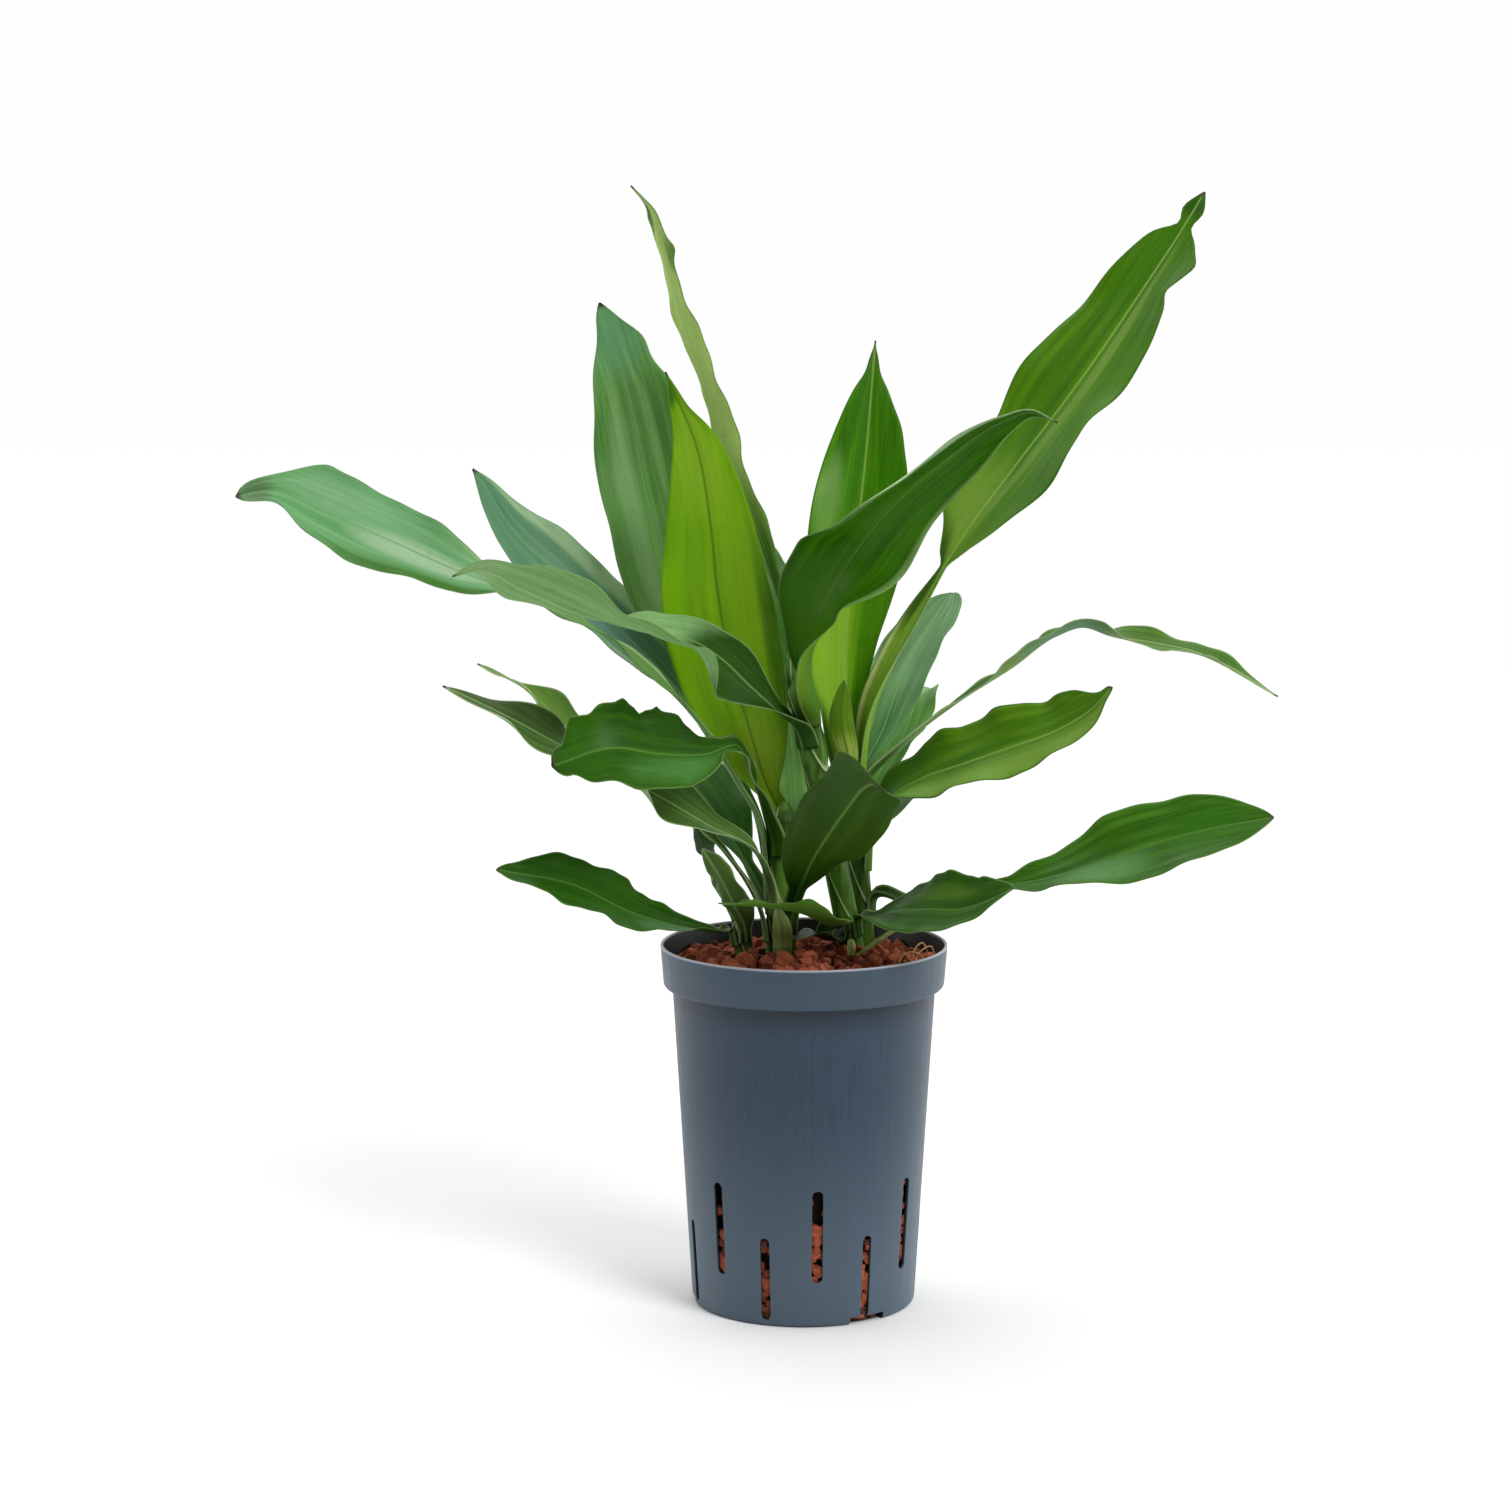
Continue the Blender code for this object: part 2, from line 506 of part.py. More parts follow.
def blade_frame(leaf, points, u):
    """The direction across the blade and its upper normal, at each point of the midrib."""
    tangent = unit(np.gradient(points, axis=0))
    bearing, faces = math.radians(leaf["bearing"]), math.radians(leaf["faces"])
    swing = (faces - bearing + math.pi) % (2 * math.pi) - math.pi
    heading = bearing + swing * np.clip(u / TURN_SHARE, 0, 1)
    across = np.stack([-np.sin(heading), np.cos(heading), 0 * heading], axis=1)
    across = unit(across - (across * tangent).sum(axis=1)[:, None] * tangent)
    up = np.cross(tangent, across)
    roll = np.radians(eased((0, *leaf.get("roll", (0,))), u))[:, None]
    return across * np.cos(roll) + up * np.sin(roll), up * np.cos(roll) - across * np.sin(roll)


def half_width(leaf, u):
    """A stalk that fades out and a lance-shaped blade, joined smoothly."""
    neck, belly, full = leaf.get("neck", 0.2), leaf.get("belly", 0.5), leaf.get("full", 1.8)
    v = np.clip((u - neck) / (1 - neck), 0, 1)
    rise, fall = full * belly, full * (1 - belly)
    lance = v**rise * (1 - v) ** fall / (belly**rise * (1 - belly) ** fall)
    blade = leaf["width"] * MM / 2 * lance
    stalk = leaf.get("stalk", STALK / MM) * MM * np.clip(1 - u / STALK_END, 0, 1) ** STALK_FADE
    return np.maximum(np.sqrt(blade**2 + stalk**2), TIP_HALF_WIDTH)


def blade_points(leaf, rows, columns):
    """The leaf's surface as rows of points: a channel that opens into a waved blade."""
    points, _ = midrib(leaf, rows)
    u = np.linspace(0, 1, rows + 1)
    across, up = blade_frame(leaf, points, u)
    half = half_width(leaf, u)[:, None]
    hug = half[0, 0] / (STEMS[leaf["stem"]]["radius"] + BLADE)
    fold = eased((hug, *leaf.get("fold", FOLD)), u)[:, None]
    side = np.linspace(-1, 1, columns + 1)[None, :]
    reach = np.sin(fold * side) / fold * half
    rise = (1 - np.cos(fold * side)) / fold * half
    height, count, left_phase, right_phase = leaf["wave"]
    swell = np.clip((u - WAVES_BEGIN) / (WAVES_FULL - WAVES_BEGIN), 0, 1)
    fade = (swell * np.clip((1 - u) / (1 - WAVES_FADE), 0, 1))[:, None]
    left = np.sin(2 * math.pi * (count * u + left_phase))[:, None]
    right = np.sin(2 * math.pi * (RIGHT_WAVES * count * u + right_phase))[:, None]
    rise = rise + height * MM * fade * side**2 * np.where(side < 0, left, right)
    return points[:, None] + reach[..., None] * across[:, None] + rise[..., None] * up[:, None]


def build_leaf(name, leaf, parts):
    length = midrib(leaf, ROWS)[1]
    rows = ROWS if length > SHORT_LEAF else SHORT_ROWS
    points = blade_points(leaf, rows, COLUMNS)
    bm = bmesh.new()
    bmesh.ops.create_grid(bm, x_segments=COLUMNS, y_segments=rows, size=1)
    for vertex in bm.verts:
        column = round((vertex.co.x + 1) / 2 * COLUMNS)
        row = round((vertex.co.y + 1) / 2 * rows)
        vertex.co = points[row, column]
    bmesh.ops.triangulate(bm, faces=bm.faces, quad_method="FIXED")
    mesh = bpy.data.meshes.new(name)
    bm.to_mesh(mesh)
    bm.free()
    mesh.shade_smooth()
    skin = principled(f"{name}_skin", LEAF_COLOURS[leaf["colour"]], LEAF_ROUGHNESS)
    made = add_object(name, mesh, parts, skin)
    thicken = made.modifiers.new("Blade", "SOLIDIFY")
    thicken.thickness = BLADE
    thicken.offset = 0
    return made


def main():
    clear_scene()
    parts = new_collection("potted_dracaena")
    cutters = new_collection("pot_cutters")
    holes = new_collection("stem_holes")
    build_pot(parts, cutters)
    for name, stem in STEMS.items():
        build_stem(name, stem, parts, holes)
    build_granules(parts, holes)
    for name, leaf in LEAVES.items():
        build_leaf(name, leaf, parts)


main()
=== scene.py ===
import json
import math
import re

import bmesh
import bpy
import numpy as np
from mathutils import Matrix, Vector


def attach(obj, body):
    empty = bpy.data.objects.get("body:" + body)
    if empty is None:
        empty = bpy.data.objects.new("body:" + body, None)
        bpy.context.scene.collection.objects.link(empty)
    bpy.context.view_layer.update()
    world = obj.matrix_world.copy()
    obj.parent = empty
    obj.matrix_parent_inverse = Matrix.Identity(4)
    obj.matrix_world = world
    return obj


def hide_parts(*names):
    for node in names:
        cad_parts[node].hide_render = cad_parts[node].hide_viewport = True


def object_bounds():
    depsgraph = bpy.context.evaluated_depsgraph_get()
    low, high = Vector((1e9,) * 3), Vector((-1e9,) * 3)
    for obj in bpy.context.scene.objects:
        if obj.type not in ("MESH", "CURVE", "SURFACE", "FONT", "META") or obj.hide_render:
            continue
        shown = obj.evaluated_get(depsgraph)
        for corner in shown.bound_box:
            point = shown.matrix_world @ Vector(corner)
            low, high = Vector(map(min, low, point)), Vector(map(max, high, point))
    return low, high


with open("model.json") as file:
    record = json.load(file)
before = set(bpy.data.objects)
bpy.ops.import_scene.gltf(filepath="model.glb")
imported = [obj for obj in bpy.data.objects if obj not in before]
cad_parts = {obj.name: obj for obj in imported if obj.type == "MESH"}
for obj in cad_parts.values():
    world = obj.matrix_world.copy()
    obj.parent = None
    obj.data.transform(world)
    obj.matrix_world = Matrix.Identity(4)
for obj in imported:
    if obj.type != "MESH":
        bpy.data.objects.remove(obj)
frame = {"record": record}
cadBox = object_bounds()
mm = 0.001


# Small helpers for nodes: an input is either a value or a socket to link from.

def wire(tree, node, inputs):
    for socket, value in inputs.items() if isinstance(inputs, dict) else enumerate(inputs):
        if isinstance(value, bpy.types.NodeSocket):
            tree.links.new(value, node.inputs[socket])
        elif value is not None:
            node.inputs[socket].default_value = value


def put(tree, kind, inputs=(), **settings):
    node = tree.nodes.new(kind)
    for name, value in settings.items():
        setattr(node, name, value)
    wire(tree, node, inputs)
    return node.outputs


def sums(tree, operation, *values):
    return put(tree, "ShaderNodeMath", values, operation=operation)[0]


def eased(tree, value, low, high, start=0.0, end=1.0):
    return put(tree, "ShaderNodeMapRange", (value, low, high, start, end), interpolation_type="SMOOTHSTEP")[0]


def joined(tree, x=None, y=None, z=None):
    return put(tree, "ShaderNodeCombineXYZ", (x, y, z))[0]


def parted(tree, vector):
    return put(tree, "ShaderNodeSeparateXYZ", (vector,))


def scaled(tree, vector, factor):
    return put(tree, "ShaderNodeVectorMath", {0: vector, "Scale": factor}, operation="SCALE")[0]


def compared(tree, first, operation, second):
    return put(tree, "FunctionNodeCompare", (first, second), operation=operation)[0]


def blend(tree, factor, first, second):
    inputs = {0: factor, 6: first, 7: second}
    inputs = {socket: (*value, 1) if isinstance(value, tuple) else value for socket, value in inputs.items()}
    return put(tree, "ShaderNodeMix", inputs, data_type="RGBA")[2]


def noise(tree, place, scale, detail=2.0, roughness=0.5):
    return put(tree, "ShaderNodeTexNoise", {"Vector": place, "Scale": scale, "Detail": detail,
                                            "Roughness": roughness})[0]


def bumps(tree, height, strength, distance):
    return put(tree, "ShaderNodeBump", {"Strength": strength, "Distance": distance, "Height": height})[0]


def attribute(tree, name, output="Fac"):
    return put(tree, "ShaderNodeAttribute", attribute_name=name)[output]


def objectPlace(tree):
    return put(tree, "ShaderNodeTexCoord")["Object"]


# the linear colour for one given in 0 to 255
def srgb(red, green, blue):
    return tuple(((c / 255 + 0.055) / 1.055) ** 2.4 if c > 10 else c / 255 / 12.92
                 for c in (red, green, blue))


def newMaterial(name):
    material = bpy.data.materials.new(name)
    material.use_nodes = True
    return material, material.node_tree, material.node_tree.nodes["Principled BSDF"]


def newObject(name, mesh):
    made = bpy.data.objects.new(name, mesh)
    bpy.context.scene.collection.objects.link(made)
    return made


# the object with what its modifiers make of it as a plain mesh
def baked(made):
    graph = bpy.context.evaluated_depsgraph_get()
    mesh = bpy.data.meshes.new_from_object(made.evaluated_get(graph))
    made.modifiers.clear()
    made.data = mesh
    return made


# adds the tree as a modifier and sets its named inputs by their identifiers
def nodesModifier(made, tree, **values):
    modifier = made.modifiers.new(tree.name, "NODES")
    modifier.node_group = tree
    for item in tree.interface.items_tree:
        if item.item_type == "SOCKET" and item.in_out == "INPUT" and item.name in values:
            modifier[item.identifier] = values[item.name]


# a geometry tree with a named input for each value that is given
def newTree(name, **inputs):
    tree = bpy.data.node_groups.new(name, "GeometryNodeTree")
    tree.interface.new_socket("Geometry", in_out="INPUT", socket_type="NodeSocketGeometry")
    kinds = {float: "NodeSocketFloat", int: "NodeSocketInt", tuple: "NodeSocketVector",
             bpy.types.Material: "NodeSocketMaterial", bpy.types.Object: "NodeSocketObject"}
    for label, value in inputs.items():
        socket = tree.interface.new_socket(label, in_out="INPUT", socket_type=kinds[type(value)])
        socket.default_value = value
    tree.interface.new_socket("Geometry", in_out="OUTPUT", socket_type="NodeSocketGeometry")
    given = {socket.name: socket for socket in put(tree, "NodeGroupInput")}
    return tree, given, tree.nodes.new("NodeGroupOutput").inputs[0]


def gathered(tree, pieces):
    join = tree.nodes.new("GeometryNodeJoinGeometry")
    for piece in pieces:
        tree.links.new(piece, join.inputs[0])
    return join.outputs[0]


# ends a tree: instances made real, and the material set
def finish(tree, geometry, material, result):
    real = put(tree, "GeometryNodeRealizeInstances", {"Geometry": geometry})[0]
    skin = put(tree, "GeometryNodeSetMaterial", {"Geometry": real, "Material": material})
    tree.links.new(skin[0], result)


# a mesh turned round the upright axis from a profile of (radius, height)
def turnedObject(name, meshName, profile, sides):
    mesh = bpy.data.meshes.new(meshName)
    mesh.from_pydata([(x, 0, z) for x, z in profile], [(i, i + 1) for i in range(len(profile) - 1)], [])
    made = newObject(name, mesh)
    turned = made.modifiers.new("turn", "SCREW")
    turned.steps = turned.render_steps = sides
    turned.use_merge_vertices = True
    turned.merge_threshold = 0.01 * mm
    turned.use_normal_calculate = True
    return made


def smoothShaded(mesh, sharpAngle):
    mesh.shade_smooth()
    mesh.set_sharp_from_angle(angle=math.radians(sharpAngle))


# The pot: a turned profile, with two staggered rows of slots and notches under its foot.

potSizes = {
    "height": 190 * mm, "rim": 75 * mm, "collarFoot": 73.2 * mm, "collarHeight": 22 * mm,
    "shoulder": 68.7 * mm, "foot": 58.4 * mm, "wall": 1.6 * mm, "floor": 2 * mm,
    "footRing": 5 * mm, "footHollow": 1.1 * mm, "softEdge": 0.2 * mm, "sides": 180,
    "slotsInRow": 7, "notches": 3, "cutDepth": 16 * mm,
    "upperWidth": 5.7 * mm, "upperLow": 24 * mm, "upperHigh": 73 * mm, "upperTurn": 6,
    "lowerWidth": 5 * mm, "lowerLow": 3.4 * mm, "lowerHigh": 47 * mm, "lowerTurn": -19.7,
    "notchWidth": 21 * mm, "notchHeight": 4 * mm, "notchTurn": 34,
}
potStep = potSizes["height"] - potSizes["collarHeight"]

# Colours in 0 to 255. Each of the last four fades in between two heights, up to a strength.
potPaint = {
    # within: the inner side of the wall painted near black, a painted shade
    "streaks": ((33, 53, 70), (43, 63, 80)), "broad": (37, 57, 75), "within": (13, 16, 20),
    "shadeEnds": (169 * mm, 168.2 * mm),
    # low: painted light, the wall lighter towards the foot
    "low": ((74, 91, 105), 130 * mm, 10 * mm, 0.9),
    "collar": ((62, 79, 93), 168 * mm, 170 * mm, 0.6),
    # shade: a painted shadow below the collar's step
    "shade": ((18, 32, 46), 150 * mm, 168 * mm, 0.75),
    # rim: a painted highlight along the rim's edge
    "rim": ((176, 176, 186), 188.6 * mm, 189.6 * mm, 0.75),
}


def wallRadius(z):
    return potSizes["foot"] + (potSizes["shoulder"] - potSizes["foot"]) * (z / potStep)


def collarRadius(z):
    pot = potSizes
    return pot["rim"] + (pot["collarFoot"] - pot["rim"]) * (pot["height"] - z) / pot["collarHeight"]


# corners are (radius, height, rounding); each rounded one becomes a short arc
def roundedProfile(corners, steps=4):
    points = []
    for i, (x, z, rounding) in enumerate(corners):
        if not rounding:
            points.append((x, z))
            continue
        here = Vector((x, z))
        before = (Vector(corners[i - 1][:2]) - here).normalized() * rounding
        after = (Vector(corners[i + 1][:2]) - here).normalized() * rounding
        for step in range(steps + 1):
            t = step / steps
            points.append(tuple(here + before * (1 - t) ** 2 + after * t * t))
    return points


# cuts a row of copies of a shape out of the wall, spaced evenly round the pot from a turn
def cutRow(tree, given, shape, result, crossing):
    front = joined(tree, y=sums(tree, "MULTIPLY", given["Radius"], -1.0))
    shape = put(tree, "GeometryNodeTransform", {"Geometry": shape, "Translation": front})[0]
    row = put(tree, "GeometryNodeMeshLine", {"Count": given["Count"], "Offset": (0.0, 0.0, 0.0)})[0]
    index = put(tree, "GeometryNodeInputIndex")[0]
    angle = sums(tree, "DIVIDE", sums(tree, "MULTIPLY", index, math.tau), given["Count"])
    turn = joined(tree, z=sums(tree, "ADD", angle, given["Turn"]))
    cutters = put(tree, "GeometryNodeInstanceOnPoints", {"Points": row, "Instance": shape, "Rotation": turn})
    cutters = put(tree, "GeometryNodeRealizeInstances", {"Geometry": cutters[0]})
    cut = put(tree, "GeometryNodeMeshBoolean", {"Mesh 1": given["Geometry"], "Mesh 2": cutters[0],
                                                "Self Intersection": crossing},
              operation="DIFFERENCE", solver="EXACT")
    finish(tree, cut[0], given["Plastic"], result)


# round-ended slots
def slotTree():
    tree, given, result = newTree("potSlots", Count=7, Width=5 * mm, Low=3 * mm, High=47 * mm, Radius=60 * mm,
                                  Turn=0.0, Depth=16 * mm, Plastic=bpy.data.materials["potPlastic"])
    half = sums(tree, "DIVIDE", given["Width"], 2.0)
    end = put(tree, "GeometryNodeMeshCylinder", {"Vertices": 20, "Radius": half, "Depth": given["Depth"]})[0]
    shapes = []
    for level in (sums(tree, "SUBTRACT", given["High"], half), sums(tree, "ADD", given["Low"], half)):
        shapes.append(put(tree, "GeometryNodeTransform", {
            "Geometry": end, "Translation": joined(tree, z=level), "Rotation": (math.pi / 2, 0, 0)})[0])
    length = sums(tree, "SUBTRACT", sums(tree, "SUBTRACT", given["High"], given["Low"]), given["Width"])
    bar = put(tree, "GeometryNodeMeshCube", {"Size": joined(tree, given["Width"], given["Depth"], length)})[0]
    middle = sums(tree, "DIVIDE", sums(tree, "ADD", given["High"], given["Low"]), 2.0)
    place = joined(tree, z=middle)
    shapes.append(put(tree, "GeometryNodeTransform", {"Geometry": bar, "Translation": place})[0])
    cutRow(tree, given, gathered(tree, shapes), result, True)
    return tree


# drainage notches, cut up into the foot
def notchTree():
    tree, given, result = newTree("footNotches", Count=3, Width=21 * mm, Height=4 * mm, Radius=58 * mm,
                                  Turn=0.0, Depth=16 * mm, Plastic=bpy.data.materials["potPlastic"])
    tall = sums(tree, "MULTIPLY", given["Height"], 2.0)
    block = put(tree, "GeometryNodeMeshCube", {"Size": joined(tree, given["Width"], given["Depth"], tall)})[0]
    cutRow(tree, given, block, result, False)
    return tree


def buildPot():
    pot = potSizes
    wall = pot["wall"]
    inStep = potStep + wall
    profile = roundedProfile([
        (0, pot["floor"], 0),
        (wallRadius(pot["floor"]) - wall, pot["floor"], 1.5 * mm),
        (wallRadius(inStep) - wall, inStep, 1 * mm),
        (collarRadius(inStep) - wall, inStep, 1 * mm),
        (pot["rim"] - wall, pot["height"], 0.7 * mm),
        (pot["rim"], pot["height"], 0.7 * mm),
        (pot["collarFoot"], potStep, 2.2 * mm),
        (pot["shoulder"], potStep, 0.8 * mm),
        (wallRadius(0), 0, 2.4 * mm),
        (pot["foot"] - pot["footRing"], 0, 0.4 * mm),
        (pot["foot"] - pot["footRing"] - 1 * mm, pot["footHollow"], 0.4 * mm),
        (0, pot["footHollow"], 0),
    ])
    made = turnedObject("culturePot", "pot", profile, pot["sides"])
    plastic = potPlastic()
    tree = slotTree()
    for row in ("upper", "lower"):
        low, high = pot[f"{row}Low"], pot[f"{row}High"]
        nodesModifier(made, tree, Count=pot["slotsInRow"], Width=pot[f"{row}Width"], Low=low, High=high,
                      Radius=wallRadius((low + high) / 2), Turn=math.radians(pot[f"{row}Turn"]),
                      Depth=pot["cutDepth"])
    nodesModifier(made, notchTree(), Count=pot["notches"], Width=pot["notchWidth"], Height=pot["notchHeight"],
                  Radius=wallRadius(0), Turn=math.radians(pot["notchTurn"]), Depth=pot["cutDepth"])
    baked(made)
    soften = made.modifiers.new("edges", "BEVEL")
    soften.width = pot["softEdge"]
    soften.segments = 2
    soften.limit_method = "ANGLE"
    soften.angle_limit = math.radians(50)
    soften.use_clamp_overlap = True
    mesh = baked(made).data
    within = []  # 1 on the inner side of the wall, 0 outside
    for spot in mesh.vertices:
        spot.co.z = max(0, spot.co.z)
        x, y, z = spot.co
        outer = collarRadius(z) if z > potStep + wall / 2 else wallRadius(z)
        within.append(float(math.hypot(x, y) < outer - wall / 2))
    mesh.attributes.new("within", "FLOAT", "POINT").data.foreach_set("value", within)
    smoothShaded(mesh, 40)
    mesh.materials.clear()
    mesh.materials.append(plastic)
    return made


# blue-grey moulded plastic with faint upright streaks, near black within as painted shade, painted lighter
# towards the foot, with a painted shadow under the collar and a painted highlight along the rim
def potPlastic():
    material, tree, shader = newMaterial("potPlastic")
    here = objectPlace(tree)
    x, y, z = parted(tree, here)

    def banded(colour, name, share=1.0):
        tint, low, high, strength = potPaint[name]
        reach = sums(tree, "MULTIPLY", eased(tree, z, low, high, 0.0, strength), share)
        return blend(tree, reach, colour, srgb(*tint))

    angle = sums(tree, "ARCTAN2", x, sums(tree, "MULTIPLY", y, -1.0))
    around = joined(tree, sums(tree, "SINE", angle), sums(tree, "COSINE", angle),
                    sums(tree, "MULTIPLY", z, 1.6))
    streaks = noise(tree, around, 26.0, 4.0, 0.6)
    broad = noise(tree, here, 14.0, 3.0)
    dark, light = potPaint["streaks"]
    colour = blend(tree, eased(tree, streaks, 0.3, 0.7), srgb(*dark), srgb(*light))
    colour = blend(tree, eased(tree, broad, 0.35, 0.7, 0.0, 0.6), colour, srgb(*potPaint["broad"]))
    # painted light: lighter towards the foot; then the paler collar band
    colour = banded(banded(colour, "low"), "collar")
    # painted shadow below the collar
    colour = banded(colour, "shade", eased(tree, z, *potPaint["shadeEnds"]))
    # painted shade: the inner side of the wall is made near black
    colour = blend(tree, attribute(tree, "within"), colour, srgb(*potPaint["within"]))
    # the rim band in the base colour is a painted highlight
    wire(tree, shader, {
        "Base Color": banded(colour, "rim"), "Roughness": eased(tree, streaks, 0.2, 0.8, 0.38, 0.5),
        "Specular IOR Level": 0.38, "Normal": bumps(tree, noise(tree, here, 900.0), 0.12, 0.1 * mm)})
    return material


# The clay granules: broken lumps scattered over the heap and behind the slots, on a dark core.

granuleSizes = {
    "level": 178 * mm, "heap": 5 * mm, "coreInset": 3.4 * mm, "coreDrop": 2.6 * mm, "coreRim": 68.5 * mm,
    "coreRings": 9, "coreSpacing": 7.6 * mm, "coreSides": 64, "clear": 0.2 * mm,
    "lump": 3.9 * mm, "spacing": 5.6 * mm, "upperSpacing": 9.5 * mm, "seed": 7,
    "sideLump": 3.1 * mm, "sideSpacing": 3.5 * mm, "sideHigh": 78 * mm,
    "roundness": 0.62, "broken": 4.2 * mm, "breaks": 260.0, "stemRoom": 0.7, "besideSlot": 0.55,
    "smallest": 0.62, "range": 0.55, "mostlySmall": 1.6, "stretch": ((0.75, 0.8, 0.7), (1.2, 1.1, 1.0)),
}
# the lumps' darkest and lightest tones, their patches and dust in 0 to 255, and the core's linear colour
clayPaint = ((86, 36, 22), (172, 92, 62), (130, 62, 40), (196, 128, 98))
clayShadow = (0.006, 0.003, 0.002)


def heapHeight(radius):
    edge = min(1, radius / potSizes["rim"])
    return granuleSizes["level"] + granuleSizes["heap"] * (1 - edge * edge)


# a closed body a little inside the pot's wall and below the granules' tops, near black as painted shade
# between the lumps
def granuleCore():
    sizes = granuleSizes
    inset = potSizes["wall"] + sizes["coreInset"]
    step, low = potStep + potSizes["wall"], potSizes["floor"] + 0.5 * mm
    rings = [i * sizes["coreSpacing"] for i in range(sizes["coreRings"])]
    profile = [(radius, heapHeight(radius) - sizes["coreDrop"]) for radius in rings]
    profile += [(sizes["coreRim"], sizes["level"] - sizes["coreDrop"]), (sizes["coreRim"], step),
                (wallRadius(step) - inset, step - 4 * mm),
                (wallRadius(sizes["sideHigh"]) - inset, sizes["sideHigh"]),
                (wallRadius(0) - inset, low), (0, low)]
    return turnedObject("clayGranules", "granules", profile, sizes["coreSides"])


# a random number, or a vector where the ends are vectors
def chance(tree, seed, low=0.0, high=1.0):
    if isinstance(low, tuple):
        inputs = {0: low, 1: high, "Seed": seed}
        return put(tree, "FunctionNodeRandomValue", inputs, data_type="FLOAT_VECTOR")[0]
    inputs = {"Min": low, "Max": high, "Seed": seed}
    return put(tree, "FunctionNodeRandomValue", inputs, data_type="FLOAT")[1]


def without(tree, points, chosen):
    inputs = {"Geometry": points, "Selection": chosen}
    return put(tree, "GeometryNodeDeleteGeometry", inputs, domain="POINT")[0]


# the tone is each lump's own from 0 to 1, and -1 on the core
def withTone(tree, geometry, value, domain):
    inputs = {"Geometry": geometry, "Name": "tone", "Value": value}
    return put(tree, "GeometryNodeStoreNamedAttribute", inputs, data_type="FLOAT", domain=domain)[0]


def granuleTree():
    sizes = granuleSizes
    tree, given, result = newTree(
        "scatterGranules", Stems=bpy.data.objects["allStems"], Lump=4 * mm, Spacing=6 * mm,
        UpperSpacing=9 * mm, SideLump=3 * mm, SideSpacing=5 * mm, SideHigh=78 * mm, Seed=1,
        Slots=7, UpperTurn=0.0, LowerTurn=0.0, Step=170 * mm, FootRoom=56 * mm, StepRoom=67 * mm,
        CollarRoom=71 * mm, Floor=2 * mm, Clay=bpy.data.materials["firedClay"])
    # one lump: a cube of 24 faces drawn round
    cube = put(tree, "GeometryNodeMeshCube", {"Size": (2.0, 2.0, 2.0), "Vertices X": 3, "Vertices Y": 3,
                                              "Vertices Z": 3})[0]
    spot = put(tree, "GeometryNodeInputPosition")[0]
    ball = put(tree, "ShaderNodeVectorMath", (spot,), operation="NORMALIZE")[0]
    ball = put(tree, "ShaderNodeMix", {0: sizes["roundness"], 4: spot, 5: ball}, data_type="VECTOR")[1]
    lump = put(tree, "GeometryNodeSetPosition", {"Geometry": cube, "Position": ball})[0]

    normal = put(tree, "GeometryNodeInputNormal")[0]
    upward = parted(tree, normal)[2]
    x, y, z = parted(tree, spot)
    isTop = compared(tree, upward, "GREATER_THAN", 0.6)
    # beside the slots: the angle from the front, counted in slots, is near a whole number
    angle = sums(tree, "ARCTAN2", x, sums(tree, "MULTIPLY", y, -1.0))
    near = []
    for turn in ("UpperTurn", "LowerTurn"):
        count = sums(tree, "MULTIPLY", sums(tree, "SUBTRACT", angle, given[turn]), given["Slots"])
        near.append(sums(tree, "COSINE", count))
    isNear = compared(tree, sums(tree, "MAXIMUM", *near), "GREATER_THAN", sizes["besideSlot"])
    isFar = put(tree, "FunctionNodeBooleanMath", (isNear,), operation="NOT")[0]
    isLow = compared(tree, z, "LESS_THAN", given["SideHigh"])
    isSteep = compared(tree, upward, "LESS_THAN", 0.3)
    isSide = put(tree, "FunctionNodeBooleanMath", (isSteep, isLow), operation="AND")[0]

    layers = (  # where, how far apart, how large, how far out in sizes, and what is added to the seed
        (isTop, given["Spacing"], given["Lump"], 0.4, 0),
        (isTop, given["UpperSpacing"], given["Lump"], 1.0, 11),
        (isSide, given["SideSpacing"], given["SideLump"], 0.3, 23),
        (isSide, given["SideSpacing"], given["SideLump"], 0.9, 31),
    )
    scattered = []
    for chosen, spacing, size, lift, extra in layers:
        seed = sums(tree, "ADD", given["Seed"], float(extra))
        density = sums(tree, "DIVIDE", 2.0, sums(tree, "MULTIPLY", spacing, spacing))
        points = put(tree, "GeometryNodeDistributePointsOnFaces",
                     {"Mesh": given["Geometry"], "Selection": chosen, "Distance Min": spacing,
                      "Density Max": density, "Seed": seed}, distribute_method="POISSON")
        places = without(tree, points[0], isFar) if chosen == isSide else points[0]
        offset = scaled(tree, points[1], sums(tree, "MULTIPLY", size, lift))
        places = put(tree, "GeometryNodeSetPosition", {"Geometry": places, "Offset": offset})[0]
        # none where a stem stands
        stems = put(tree, "GeometryNodeObjectInfo", {"Object": given["Stems"]})["Geometry"]
        away = put(tree, "GeometryNodeProximity", {"Geometry": stems}, target_element="FACES")["Distance"]
        room = sums(tree, "MULTIPLY", size, sizes["stemRoom"])
        places = without(tree, places, compared(tree, away, "LESS_THAN", room))
        share = sums(tree, "POWER", chance(tree, seed), sizes["mostlySmall"])
        share = sums(tree, "MULTIPLY_ADD", share, sizes["range"], sizes["smallest"])
        stretch = chance(tree, seed, *sizes["stretch"])
        scale = scaled(tree, stretch, sums(tree, "MULTIPLY", size, share))
        spin = chance(tree, seed, (0.0, 0.0, 0.0), (6.28, 6.28, 6.28))
        lumps = put(tree, "GeometryNodeInstanceOnPoints",
                    {"Points": places, "Instance": lump, "Rotation": spin, "Scale": scale})[0]
        scattered.append(withTone(tree, lumps, chance(tree, seed), "INSTANCE"))
    lumps = put(tree, "GeometryNodeRealizeInstances", {"Geometry": gathered(tree, scattered)})[0]
